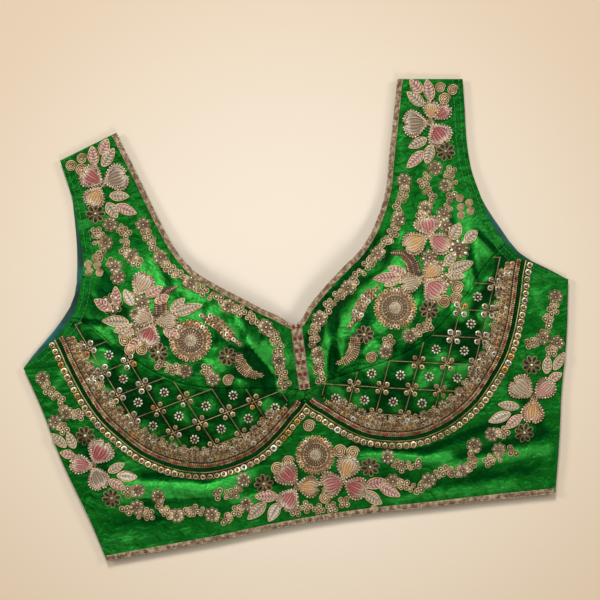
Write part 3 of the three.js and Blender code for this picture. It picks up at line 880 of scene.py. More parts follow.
class Embroidery:
    """The embroiderer's motifs, each adding to the works of beads, cords, sequins and threads."""

    def __init__(self, seed):
        self.rng = np.random.default_rng(seed)
        self.bead, self.cord, self.sequin, self.thread = Work(), Work(), Work(), Work()

    def ground_and_shade(self, spots, length, width=None, turn=0.0, colour=SHADE_BROWN, tall=0.3):
        """Flat stitching under a motif: ovals at plan spots. In the dark browns it is painted shade in
        the gaps between the motif's beads and cords.
        """
        spots = np.atleast_2d(spots)
        count = len(spots)
        rows = [spots, np.broadcast_to(turn, count), np.full(count, length), np.full(count, width or length)]
        shape = PLATE if length > 4.4 else BUTTON
        self.thread.stamp(
            shape, np.column_stack([*rows, np.full(count, tall), np.full(count, -0.1)]), [colour])

    def loops(self, centre, angles, length, width, start=0.0, radius=0.42, colour=FAWN):
        """Loops of cord round a centre."""
        paths = turned(LOOP, centre, angles, length, width, start)
        self.cord.cord(paths, radius, 0.1, colour, 4, closed=True, twist=0.15, pitch=1.1)

    def bead_flower(self, x, y, size=6.0, turn=0.0):
        """Eight bright beads in corded loops round a knot of small beads, on dark stitching that
        paints the shade between them.
        """
        self.ground_and_shade([(x, y)], size * 0.68, colour=SHADE_UMBER)
        spots, angle = ring_spots((x, y), size * 0.7, 8, turn)
        self.loops((x, y), angle, size * 0.68, size * 0.52, size * 0.34, 0.27, BEIGE)
        beads(self.bead, spots, size * 0.135, SILVER, self.rng, angle, 1.35, 0.4)
        spots, angle = ring_spots((x, y), size * 0.34, 8, turn + 0.39)
        beads(self.bead, spots, size * 0.075, BRONZE, self.rng, angle, 1.6, 0.4)
        beads(self.bead, [(x, y)], size * 0.13, IVORY, self.rng, above=0.7)

    def loop_flower(self, x, y, size=5.2, turn=0.0, petals=5, spread=2 * math.pi):
        """A flower or a spray of corded loops, with a bead in each on dark stitching that paints the
        shade inside the loop.
        """
        angles = turn + spread * np.arange(petals) / petals
        heart = turned(np.array([[0.56, 0.0]]), (x, y), angles, size, size)[:, 0]
        self.ground_and_shade(heart, size * 0.4, size * 0.28, angles, SHADE_UMBER)
        self.loops((x, y), angles, size, size * 0.78, 0.0, 0.36, FAWN)
        beads(self.bead, heart, size * 0.14, SILVER, self.rng, angles, 1.3, 0.4)
        beads(self.bead, [(x, y)], size * 0.13, PALE_GOLD, self.rng, above=0.4)

    def stone_flower(self, x, y, size=7.8, turn=0.0):
        """A flower of eight long dark stones, each in a loop of cord."""
        angles = turn + np.arange(8) * math.pi / 4
        self.loops((x, y), angles, size * 0.78, size * 0.46, size * 0.22, 0.34, BEIGE)
        spots = turned(np.array([[0.6, 0.0]]), (x, y), angles, size, size)[:, 0]
        beads(self.bead, spots, size * 0.15, STONE, self.rng, angles, 1.9, 0.1)
        beads(self.bead, [(x, y)], size * 0.18, IVORY, self.rng)

    def lattice_flower(self, x, y, size=4.1):
        """Eight ivory beads round one gold bead."""
        # Painted shade: a dark oval under the beads.
        self.ground_and_shade([(x, y)], size * 0.6)
        spots, angle = ring_spots((x, y), size * 0.74, 8, self.rng.uniform(0, 0.7))
        beads(self.bead, spots, size * 0.22, SILVER, self.rng, angle, 1.25)
        beads(self.bead, [(x, y)], size * 0.22, PALE_GOLD, self.rng, above=0.3)

    def disc(self, x, y, size=5.6, colour=None):
        """A disc of coiled cord: a spiral from its rim to its middle, with a bead on it."""
        # Painted shade: a dark oval under the coil darkens the gaps between its turns.
        self.ground_and_shade([(x, y)], size * 0.95)
        turn = np.linspace(0, 2 * np.pi * 3.3, 62)
        radius = size * (1 - turn / turn[-1]) * 0.93 + 0.3
        path = np.stack([x + radius * np.cos(turn), y + radius * np.sin(turn)], -1)
        self.cord.cord(path, size * 0.085, 0.3, FAWN if colour is None else colour, 5, twist=0.2, pitch=1.0)
        beads(self.bead, [(x, y)], size * 0.16, PALE_GOLD, self.rng, above=0.5)

    def ring_sequin(self, spots, radius, colour=GOLD, glint_share=0.1):
        """Cupped sequins with a dark eye, painted shade, and a bead at the middle; a few are silver,
        painted glints, and a few are yellow.
        """
        chance = self.rng.uniform(size=(len(spots), 1))
        tints = np.where(chance < glint_share, np.array(SILVER), np.array(colour))
        tints = np.where(chance > 0.94, np.array(YELLOW), tints)
        sequins(self.sequin, spots, radius, tints, self.rng, 0)
        # Painted shade: a dark oval in the eye of each sequin.
        self.ground_and_shade(spots, radius * 0.55, tall=radius * 0.8)
        beads(self.bead, spots, radius * 0.22, PALE_GOLD, self.rng, above=radius * 0.6)

    def rosette(self, x, y, size=17.5):
        """A round boss on dark stitching that paints the shade between its beads: silver seed beads
        in a sunflower spiral, then rings of bugles, looped cord, ring sequins and a beaded rim."""
        self.ground_and_shade([(x, y)], size * 0.95, colour=SHADE_UMBER)
        self.ground_and_shade([(x, y)], size * 0.3, colour=BEIGE, tall=1.0)
        order = np.arange(46)
        angle, radius = order * GOLDEN_ANGLE, size * 0.27 * np.sqrt((order + 0.5) / 46)
        packed = np.stack([x + radius * np.cos(angle), y + radius * np.sin(angle)], -1)
        beads(self.bead, packed, size * 0.03, SILVER, self.rng, above=0.9)
        spots, angle = ring_spots((x, y), size * 0.35, 22)
        beads(self.bead, spots, size * 0.032, PALE_GOLD, self.rng, above=0.3)
        spots, angle = ring_spots((x, y), size * 0.47, 22)
        beads(self.bead, spots, size * 0.026, GOLD, self.rng, angle, 2.4, 0.2)
        spots, angle = ring_spots((x, y), size * 0.6, 20)
        beads(self.bead, spots, size * 0.042, IVORY, self.rng, above=0.3)
        self.loops((x, y), angle + 0.16, size * 0.2, size * 0.13, size * 0.58, 0.36, GOLD)
        spots, angle = ring_spots((x, y), size * 0.84, 18)
        self.ring_sequin(spots, size * 0.1, GOLD, 0.1)
        self.loops((x, y), angle + 0.17, size * 0.24, size * 0.13, size * 0.76, 0.36, FAWN)
        spots, _ = ring_spots((x, y), size * 0.98, 36)
        beads(self.bead, spots, size * 0.036, FAWN, self.rng)

    def outline(self, plan, radius, shrink, above):
        """A row of beads round a petal on a dark cord that paints the shade under them, drawn in
        towards its middle.
        """
        rim = np.vstack([plan[:, 0], plan[-1, 1:-1], plan[::-1, -1], plan[:1, 0]])
        middle = rim[:-1].mean(0)
        rim = (rim - middle) * shrink + middle
        self.thread.cord(paced(rim, 1.2)[None], radius * 0.9, above - radius * 0.9, SHADE_BROWN, 5, closed=True)
        spots = paced(rim, radius * 2.7)[:-1]
        chance = self.rng.uniform(size=(len(spots), 1))
        tones = np.where(chance < 0.4, np.array(IVORY),
                         np.where(chance < 0.8, np.array(FAWN), np.array(GOLD)))
        beads(self.bead, spots, radius, tones, self.rng, above=above + 0.2)

    def petal(self, x, y, turn, length, width, heart, rim):
        """A padded petal from its foot: half width is width / 2 · sin(π u^1.4)^0.6, its outer edge
        notched, combed by stitches that fan from the foot, within two rows of beads."""
        x, y = x - 0.06 * length * math.cos(turn), y - 0.06 * length * math.sin(turn)
        length, width = length * 1.12, width * 1.12
        u = np.linspace(0.03, 0.97, 15)[:, None]
        v = np.linspace(-1, 1, 21)[None, :]
        side = width / 2 * np.sin(np.pi * u**1.4) ** 0.6 * v
        along = length * u * (1 - 0.16 * np.exp(-((v / 0.3) ** 2)) * u**2 + 0.06 * np.abs(v))
        plan = set_out(x, y, turn, along, side)
        fan = np.cos(v * 4 * 2 * np.pi)
        above = 0.25 + 1.3 * np.sqrt(np.clip(1 - (v * 0.97) ** 2, 0, 1)) * np.ones_like(u) + 0.14 * fan
        share = smoothstep(np.hypot((u - 0.45) / 0.5, v * 0.95), 0.55, 0.95)[..., None]
        tint = np.asarray(heart) * (1 - share) + np.asarray(rim) * share
        # Painted highlight and shade: ivory on the crests of the stitches, more of it towards the tip, and
        # darker in the grooves between them.
        crest_highlight = (0.75 * smoothstep(fan, 0.0, 0.9) * (0.1 + 0.9 * u))[..., None]
        tint = (tint * (1 - crest_highlight) + np.asarray(IVORY) * crest_highlight) * (
            0.35 + 0.65 * smoothstep(fan, -1, 0.1))[..., None]
        self.thread.patch(plan, above, tint)
        self.outline(plan, 0.9, 1.02, 0.1)
        self.outline(plan, 0.66, 0.8, 1.0)

    def leaf(self, x, y, turn, length=16.0, width=7.0, heart=PINK):
        """A leaf from its foot: half width is width / 2 · sin(π u^0.85)^0.8, pointed, with slanted
        stitches either side of a vein, in a cord."""
        u = np.linspace(0.01, 0.99, 27)[:, None]
        v = np.linspace(-1, 1, 9)[None, :]
        side = width / 2 * np.sin(np.pi * u**0.85) ** 0.8 * v
        plan = set_out(x, y, turn, length * u, side)
        slant = np.cos(2 * np.pi * (u * length / 2.7 - np.abs(v) * 0.8))
        vein = np.exp(-((v / 0.16) ** 2)) * np.ones_like(u)
        above = 0.3 + 0.8 * np.sqrt(np.clip(1 - (v * 0.95) ** 2, 0, 1)) + 0.14 * slant - 0.4 * vein
        # Painted highlight and shade: ivory on the crests of the slanted stitches, darker in their troughs
        # and along the sunken vein.
        crest_highlight = (0.8 * smoothstep(slant, -0.2, 0.8))[..., None]
        tint = np.asarray(heart) * (1 - crest_highlight) + np.asarray(IVORY) * crest_highlight
        tint = tint * ((1 - 0.8 * vein) * (0.45 + 0.55 * smoothstep(slant, -1, -0.2)))[..., None]
        self.thread.patch(plan, above, tint)
        rim = np.vstack([plan[:, 0], plan[::-1, -1], plan[:1, 0]])
        inner = (rim - rim[:-1].mean(0)) * 0.88 + rim[:-1].mean(0)
        # Painted shade: a dark cord just inside the rim cord.
        self.thread.cord(inner[None], 0.4, 0.2, SHADE_BROWN, 4, closed=True)
        self.cord.cord(rim[None], 0.5, 0.1, FAWN, 5, closed=True, twist=0.25, pitch=1.6)
        beads(self.bead, walk(plan[:, 4], np.linspace(0.12, 0.85, 7)), 0.42, IVORY, self.rng, above=0.6)

    def hook(self, rows, widths, colour, rings=False):
        """A curved paisley or crescent packed with rows of beads or of ring sequins, its width
        given along it, on dark stitching that paints the shade between them."""
        path = curve(rows, 16)
        gap = 3.4 if rings else 1.55
        spots = paced(path, gap)
        wide = np.interp(np.linspace(0, 1, len(spots)), np.linspace(0, 1, len(widths)), widths)
        left = beside(spots, 1.0) - spots
        for spot, width in zip(spots, wide):
            self.ground_and_shade([spot], max(width / 2, 0.8), colour=SHADE_BROWN)
        for lane in np.arange(-8, 9):
            inside = np.abs(lane * gap * 0.9) <= wide / 2
            row = (spots + left * lane * gap * 0.9)[inside]
            if len(row) and rings:
                self.ring_sequin(row, 1.9, colour, 0.15)
            elif len(row):
                beads(self.bead, row, 0.66, colour if lane % 3 else FAWN, self.rng, above=0.15)

    def vine(self, steps, size=5.8):
        """A flower and two sprays of loops in turn along a stem of cord, small loops between."""
        path = curve(steps, 12)
        self.cord.cord(path[None], 0.3, -0.4, BEIGE, 4, twist=0.2, pitch=1.2)
        way = headings(path)
        for k, (x, y) in enumerate(steps):
            turn = self.rng.uniform(0, 6.28)
            if k % 3 == 0:
                self.bead_flower(x, y, size * self.rng.uniform(1.0, 1.12), turn)
            elif k % 3 == 1:
                self.loop_flower(x, y, size * 0.92, turn, 4)
            else:
                self.loop_flower(x, y, size, turn, 3, 4.2)
            if k + 1 < len(steps):
                at = min(k * 12 + 6, len(path) - 1)
                turn = math.atan2(way[at, 1], way[at, 0])
                for lean in (1.25, -1.25):
                    self.loop_flower(*path[at], size * 0.72, turn + lean * self.rng.uniform(0.8, 1.2), 1)

    def finish(self, name):
        """The gathered works as pieces of the blouse."""
        made = []
        parts = (("beads", self.bead, "bead"), ("cords", self.cord, "cord"),
                 ("sequins", self.sequin, "sequin"), ("threads", self.thread, "thread"))
        for suffix, work, finish in parts:
            if work.count:
                made.append(work.make(f"{name}_{suffix}", finishes[finish], "braid"))
        return made


# ---------- motifs of the right half; the left half mirrors them ----------
def lay(x, y, side):
    """Where a spot of the right half lies on either half: the left strap leans in and drops a
    little, and the left side is a little narrower."""
    x, y = np.asarray(x, float), np.asarray(y, float)
    if side == RIGHT:
        return x, y
    drop = 0.1 * np.clip(y - 130, 0, None) + 0.14 * (x - 146) * smoothstep(y, 130, 230)
    narrow = 0.03 * smoothstep(x, 140, 190) * (1 - smoothstep(y, 60, 90))
    return -x * (1 - narrow), y - drop


PAIR = (RIGHT, LEFT)

# Petals: the flower's heart x, y, the petal's middle x, y, its length, width, colour and rim.
PETALS = (
    (112, 82, 120, 87, 15, 15, YELLOW, BEIGE, (RIGHT,)), (112, 82, 119.5, 73, 16, 20, ROSE, FAWN, (RIGHT,)),
    (112, 82, 120, 87, 15, 15, GOLD, IVORY, (LEFT,)), (112, 82, 118.5, 72, 16, 18, CRIMSON, IVORY, (LEFT,)),
    (112, 82, 102.5, 81, 16, 14, BEIGE, FAWN, PAIR),
    (124, 117, 124, 125, 14, 20, ROSE, FAWN, (RIGHT,)), (124, 108, 119, 114, 17, 16, GOLD, IVORY, (LEFT,)),
    (124, 117, 111.5, 113, 18, 17, YELLOW, FAWN, (RIGHT,)),
    (124, 117, 131, 110, 18, 16, ROSE, FAWN, (RIGHT,)),
    (140, 211, 142.5, 221, 13, 12, YELLOW, IVORY, (RIGHT,)),
    (140, 211, 151, 217.5, 14, 12, CRIMSON, IVORY, (RIGHT,)),
    (140, 211, 128, 212, 18, 20, OLD_GOLD, IVORY, PAIR),
    (140, 211, 145.5, 200.5, 17, 19, CRIMSON, IVORY, (RIGHT,)),
    (140, 211, 147, 219, 17, 18, CRIMSON, IVORY, (LEFT,)),
    (140, 211, 147, 201, 16, 16, YELLOW, IVORY, (LEFT,)),
    (190, -31, 181, -21, 18, 19, BEIGE, FAWN, (RIGHT,)),
    (190, -31, 199, -25, 17, 15, PINK, BEIGE, (RIGHT,)),
    (190, -31, 187, -41, 17, 17, YELLOW, PINK, (RIGHT,)),
    (190, -29, 181.5, -19, 18, 20, CRIMSON, IVORY, (LEFT,)),
    (190, -29, 199, -26.5, 17, 14, ROSE, IVORY, (LEFT,)),
    (190, -29, 187, -39.5, 17, 16, OLD_GOLD, IVORY, (LEFT,)),
)
BAND_PETALS = (
    (-17, -72, -24, -62, 18, 18, CRIMSON, BEIGE), (-17, -72, -9, -74, 16, 16, YELLOW, BEIGE),
    (-17, -72, -26, -82, 17, 17, ROSE, IVORY), (20, -74, 26, -64, 17, 17, YELLOW, IVORY),
    (20, -74, 12, -75, 17, 19, ROSE, BEIGE), (20, -74, 30, -81, 17, 17, CRIMSON, BEIGE),
)
LEAVES = (  # foot x, y, tip x, y, width, colour, sides
    (94, 87, 72, 88.5, 8, ROSE, (RIGHT,)), (99, 88.5, 85.5, 96, 7.5, PINK, (RIGHT,)),
    (94, 85, 80, 81.5, 5.5, BEIGE, (RIGHT,)), (98, 86, 72, 89.5, 8.5, BEIGE, (LEFT,)),
    (98, 89, 85.5, 97, 7, BEIGE, (LEFT,)), (134, 85, 156, 89.5, 9, BEIGE, PAIR),
    (132, 82, 147, 79, 7, BEIGE, PAIR), (132, 90, 143, 100, 7.5, BEIGE, (RIGHT,)),
    (117, 104, 102, 109.5, 8, PINK, (LEFT,)), (142, 99, 141, 116, 8, ROSE, (LEFT,)),
    (147, 97, 160, 108, 8, CRIMSON, (LEFT,)), (131, 78, 144, 74, 7, BEIGE, (LEFT,)),
    (110, 98, 98, 101, 7.5, ROSE, (LEFT,)), (128, 98, 134, 112, 8, IVORY, (LEFT,)),
    (106, 74, 94, 66, 7.5, PINK, (LEFT,)), (126, 70, 138, 62, 8, ROSE, (LEFT,)),
    (152, 107, 164, 115, 8.5, BEIGE, (RIGHT,)), (141, 111, 151, 123, 10, BEIGE, (RIGHT,)),
    (137, 237, 129, 249, 9, PINK, PAIR), (143.5, 229, 143, 247, 9, PINK, PAIR),
    (137, 226, 125, 239, 9, BEIGE, PAIR), (135, 198, 119, 193, 8, BEIGE, PAIR),
    (131, 188, 115, 176.5, 8.5, PINK, PAIR), (138, 192, 131.5, 177, 9, BEIGE, PAIR),
    (176, -36, 159, -31, 7, BEIGE, PAIR), (168, -40, 149, -44, 8.5, IVORY, PAIR),
    (177, -43, 162, -52, 7.5, PINK, PAIR), (204, -18, 216, -14, 7, PINK, PAIR),
    (203, -12, 207, 2, 7.5, BEIGE, PAIR), (210, -10, 221, 3, 7, BEIGE, PAIR),
)
BAND_LEAVES = (
    (50, -82, 66, -94.5, 9, PINK), (39, -81, 57, -79.5, 9, ROSE), (37, -86, 50, -98.5, 9, BEIGE),
    (-46, -82, -63, -93.5, 9, BEIGE), (-35, -78, -54, -75.5, 9, PINK), (-35, -84, -46, -98, 9, IVORY),
)
DISCS = ((139, 70.5, 5.6), (136, 62, 5.2), (126, 61, 5.6), (153, 238.5, 4.6), (163, 235, 4.8),
         (155, 228.5, 5.2), (60, 25, 4.8), (154.5, 144, 3.4), (154, 136.5, 3.4), (153, 129.5, 3.4),
         (161.5, 139, 3.4), (161.5, 132, 3.4))
BAND_DISCS = ((22, -49, 5.8), (32.5, -52, 5.8), (-22, -51, 5.4), (-32, -55, 5.4), (0, -24, 5.4),
              (4, -86, 5.4),
              (43, -101, 3))
STONE_FLOWERS = ((113, 56.5, 8), (57.5, 44.3, 7.6), (192, -3, 8), (177, -58, 8), (149, 185, 8))
BAND_STONES = ((45, -66, 8), (-45, -66, 8))
BOSSES = ((146, 102, 9), (120.5, 98.5, 7.4), (131.5, 78.5, 6), (138, 123.5, 6.2), (127, 90.5, 5.5))
NECK_VINE = ((111, 166), (109, 156.5), (103.5, 145.5), (100.5, 134.5), (94.5, 124), (87, 115.5), (79, 109),
             (70, 101.5), (58.5, 91.5), (50.5, 85), (41.5, 79.5),
              (30, 71), (23, 63), (17, 54), (16, 44), (16.5, 34),
             (16, 24), (15, 15))
STRAP_VINE = ((138, 172.5), (126.5, 162), (130, 149), (124.5, 140.5), (120.5, 134))
STRAP_SPRAY = ((144.5, 156.5), (150.5, 167.5), (148.5, 145.5), (139, 133))
SEAM_VINE = ((93.5, 38), (102, 41), (112, 45))
SEAM_SPRAY = ((72, 28), (76, 36.5))
SIDE_VINE = ((221, 50), (217, 39), (210, 30), (205, 18), (194, 15))
SIDE_SPRAY = ((216, 12), (210, 5.5))
BAND_VINE = ((62, -81), (71, -85.5), (82, -90), (92, -85), (106, -79), (114, -81), (121, -81), (128, -78),
             (132, -71), (134, -62))
BAND_TOP_VINE = ((150, -55), (160, -55))
BAND_LOW_VINE = ((154, -69), (144, -77), (166, -71))
BAND_SPRIGS = ((61, -60), (71, -70), (83, -69))
HEM_SPRIGS = ((-13, -91), (-3, -95), (8, -95), (19, -92), (-22, -93))
HOOKS = (  # rows of x, y, then widths along, colour, whether of ring sequins
    (((90.5, 107.5), (99, 105.5), (104.5, 98), (106, 88)), (2, 7, 11, 13), COPPER, False),
    (((74, 81), (61.5, 72), (53.5, 61), (46, 52.5)), (3, 10, 9, 3), BEIGE, True),
    (((48.5, 43.5), (47, 34), (40, 26.5), (31, 24)), (7, 10, 8, 2), FAWN, False),
)


def petal(work, hx, hy, mx, my, length, width, heart, rim, side):
    """A petal whose middle lies at a spot, pointing away from the flower's heart."""
    (hx, hy), (mx, my) = lay(hx, hy, side), lay(mx, my, side)
    turn = math.atan2(my - hy, mx - hx)
    foot = (mx - math.cos(turn) * length / 2, my - math.sin(turn) * length / 2)
    work.petal(*foot, turn, length, width, heart, rim)


def leaf(work, fx, fy, tx, ty, width, colour, side):
    foot, tip = lay(fx, fy, side), lay(tx, ty, side)
    dx, dy = tip[0] - foot[0], tip[1] - foot[1]
    work.leaf(foot[0], foot[1], math.atan2(dy, dx), math.hypot(dx, dy), width, colour)


def laid_rows(rows, side):
    return np.stack(lay(*np.asarray(rows, float).T, side), -1)


# ---------- cloth panels ----------
def upper_plan(side, rows, columns):
    """Upper cup and strap: rows lerped from neck edge to armhole, less the seam's sag that fades
    as (1 - s)² to the shoulder."""
    s = crowded(rows)
    t = crowded(columns)
    slit_end = 0.16
    slit = walk(np.asarray(SLIT, float), np.clip(s / slit_end, 0, 1))
    neck = walk(curve(NECK[side]), np.clip((s - slit_end) / (1 - slit_end), 0, 1))
    inner = np.where((s < slit_end)[:, None], slit, neck) + (side * 0.15, 0)
    arm = ARMHOLE_PATH[side]
    outer = walk(arm, share_at_height(arm, SEAM_STOP[side]) * (1 - s))
    seam = walk(SEAM_PATH[side], t)
    chord = seam[:1] * (1 - t[:, None]) + seam[-1:] * t[:, None]
    t, s = t[None, :, None], s[:, None, None]
    return inner[:, None] * (1 - t) + outer[:, None] * t - (chord - seam)[None] * (1 - s) ** 2 + (0, 0.12)


def ruled(low, high, columns, gap_low, gap_high, pull=0.8):
    """Rows ruled between two matching paths, drawn in from each by a gap."""
    length = np.linalg.norm(high - low, axis=-1, keepdims=True)
    t = crowded(columns, pull)[None, :, None]
    first, last = (gap_low / length)[:, None], 1 - (gap_high / length)[:, None]
    share = first + (last - first) * t
    return low[:, None] * (1 - share) + high[:, None] * share


def lower_plan(side, rows, columns):
    """Lower cup: ruled between the cup's edge and the cup seam."""
    s = crowded(rows)
    return ruled(walk(EDGE_PATH[side], s), walk(SEAM_PATH[side], s), columns, 0.12, 0.12)


def band_plan(rows, columns):
    """Front band: ruled from the side seams and the hem in to both cups' edges."""
    side_share = 7 / 36
    s = crowded(rows, 0.6)
    inner = np.vstack([EDGE_PATH[LEFT][::-1], EDGE_PATH[RIGHT][1:]])
    inner = walk(inner, s)
    left = walk(curve(SIDE_SEAM[LEFT]), np.clip(s / side_share, 0, 1))
    hem = walk(curve(HEM), np.clip((s - side_share) / (1 - 2 * side_share), 0, 1))
    right = walk(curve(SIDE_SEAM[RIGHT]), np.clip((1 - s) / side_share, 0, 1))
    outer = np.where((s < side_share)[:, None], left, hem)
    outer = np.where((s > 1 - side_share)[:, None], right, outer)
    return ruled(outer, inner, columns, 0.0, 0.12)


def back_plan(side, rows, columns, inset, centre):
    """Half of the back: ruled from the centre line and neck out to the hem, side and armhole,
    both walked from the foot of the centre up to the shoulder."""
    s = crowded(rows, 0.5)
    hem = curve(HEM)
    share = np.interp(0, hem[:, 0], run_of(hem) / run_of(hem)[-1])
    foot = walk(hem, [share])[0]
    neck = curve(BACK_NECK[side])
    clear = neck[neck[:, 0] * side > centre]
    inner = np.vstack([[(centre * side, foot[1]), (centre * side, neck[0, 1])], clear])
    arm = curve(BACK_ARMHOLE[side])[::-1]
    sides = curve(SIDE_SEAM[side])[::-1]
    far = walk(hem, np.linspace(share, 1 if side == RIGHT else 0, 60))
    far = far[far[:, 0] * side > centre]
    outer = np.vstack([far[:-1], sides[:-1], arm])
    knots = (0, 0.33, 0.66, 1)
    inner = walk(inner, np.interp(s, knots, (0, 0.3, 0.62, 1)))
    outer = walk(outer, np.interp(s, knots, (0, 0.36, 0.66, 1)))
    plan = ruled(inner, outer, columns, inset, inset, 0.6)
    plan[0, :, 1] += inset
    plan[-1, :, 1] -= inset
    return plan


def panel(name, plan, cloth, top, wall, roll=1.5, fold=None):
    """One panel of cloth as a closed shell; the model's part of that name is hidden."""
    points, faces = cloth_shell(plan, top, wall, roll)
    # Painted shade and highlight for the satin: one fold value per point, 0.5 where nothing is painted.
    fold = np.full(len(points), 0.5) if fold is None else np.tile(fold.ravel(), 2)
    piece = make_object(f"{name}_cloth", points, faces, finishes[cloth], {"fold": fold})
    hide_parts(name)


def front_panel(name, plan):
    """A panel of the front on its height field. Its folds give an attribute that paints shade
    into the satin in their troughs and a highlight on their ridges.
    """
    x, y = plan[..., 0], plan[..., 1]
    fold = np.clip(0.5 + 0.36 * folds(x, y), 0, 1)
    panel(name, plan, "satin", front(x, y), settings().front_wall / MM, fold=fold)


# ---------- trims ----------
def strip(name, path, width, dashes, rise=0.15, crown=0.95):
    """Flat braid along a path: its face crowned across by crown (1 - v²), its edges rounded."""
    left = beside(path, 1.0) - path
    v = np.linspace(-1, 1, 9)
    plan = path[:, None] + left[:, None] * (v[None, :, None] * width / 2)
    above = rise + crown * np.clip(1 - v**2, 0.02, 1) * np.ones((len(path), 1))
    upper = FIELD.drape(np.dstack([plan, above]))
    lower = FIELD.drape(np.dstack([plan, np.full(above.shape, rise - 0.25)]))
    points, faces = closed_pair(upper, lower)
    ways = {
        "run": np.repeat(run_of(path) * MM, len(v)),
        "across": np.tile(v, len(path)),
        "dashes": np.repeat(np.broadcast_to(dashes, len(path)), len(v)),
    }
    ways = {key: np.tile(values, 2) for key, values in ways.items()}
    piece = make_object(f"{name}_strip", points, faces, finishes["braid"], ways)
    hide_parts(name)


def braid_beads(name, path, width, rng):
    """A row of beads along each edge of a braid."""
    work = Work()
    for lane in (-0.4, 0.4):
        beads(work, paced(beside(path, lane * width), 1.5), 0.5, PALE_GOLD, rng, above=0.45)
    work.make(name, finishes["bead"], "braid")


def neck_path(side):
    """The cloth's edge from the foot of the slit to the shoulder."""
    return np.vstack([np.asarray(SLIT[:1], float), curve(NECK[side])]) + (side * 0.15, 0)


class CholiPiece:
    """Options that every operator of a piece shares"""

    bl_options = {"REGISTER", "UNDO"}


class CHOLI_OT_back(CholiPiece, bpy.types.Operator):
    """Two back panels, their teal lining and the hook placket"""

    bl_idname = "choli.back"
    bl_label = "Back, lining and placket"

    def execute(self, context):
        s = settings()
        nodes = ("back_left", "back_lining_left", "hook_placket")
        back, lining, placket = (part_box(node)[1][2] / MM for node in nodes)
        for side, word in SIDES:
            plan = back_plan(side, 56, 28, 0.0, 0.2)
            panel(f"back_{word}", plan, "satin", back, s.back_wall / MM, 1.0)
            plan = back_plan(side, 56, 28, 0.5, 12.4)
            panel(f"back_lining_{word}", plan, "lining", lining, s.lining_wall / MM, 0.8)
        (x0, y0, _), (x1, y1, _) = (np.array(c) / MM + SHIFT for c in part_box("hook_placket"))
        u, v = crowded(10), crowded(40)
        plan = np.stack(np.meshgrid(x0 + (x1 - x0) * u, y0 + (y1 - y0) * v), -1)
        panel("hook_placket", plan, "satin", placket, s.lining_wall / MM, 0.8)
        return {"FINISHED"}


class CHOLI_OT_front(CholiPiece, bpy.types.Operator):
    """Upper and lower cups and the front band, of satin"""

    bl_idname = "choli.front"
    bl_label = "Cups and band"

    def execute(self, context):
        for side, word in SIDES:
            front_panel(f"upper_cup_{word}", upper_plan(side, 136, 96))
            front_panel(f"lower_cup_{word}", lower_plan(side, 120, 50))
        front_panel("front_band", band_plan(320, 46))
        return {"FINISHED"}


class CHOLI_OT_trims(CholiPiece, bpy.types.Operator):
    """Corded piping round both cups, braid on the neck, slit and hem"""

    bl_idname = "choli.trims"
    bl_label = "Piping and braid"

    def execute(self, context):
        s = settings()
        rng = np.random.default_rng(3)
        width = s.braid_width / MM
        for side, word in SIDES:
            work = Work()
            path = walk(EDGE_PATH[side], np.linspace(0.006, 0.992, 220))
            work.cord(path[None], s.cord_radius / MM, 0.35, (1, 1, 1), 12, twist=0.02, pitch=3.4)
            piece = work.make(f"cup_cord_{word}", finishes["satin"], "piping")
            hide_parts(f"cup_piping_{word}")
            path = beside(paced(neck_path(side), 1.6, 1.0, 0.3), -side * (width / 2 - 0.1))
            dashes = np.where(path[:, 1] < 64, 1.4, 0.45)
            strip(f"neck_braid_{word}", path, width, dashes)
            braid_beads(f"neck_braid_beads_{word}", path, width, rng)
        hem = beside(paced(curve(HEM), 1.6, 0.6, 0.6), width / 2 + 0.2)
        strip("hem_braid", hem, width, 0.6)
        braid_beads("hem_braid_beads", hem, width, rng)
        return {"FINISHED"}


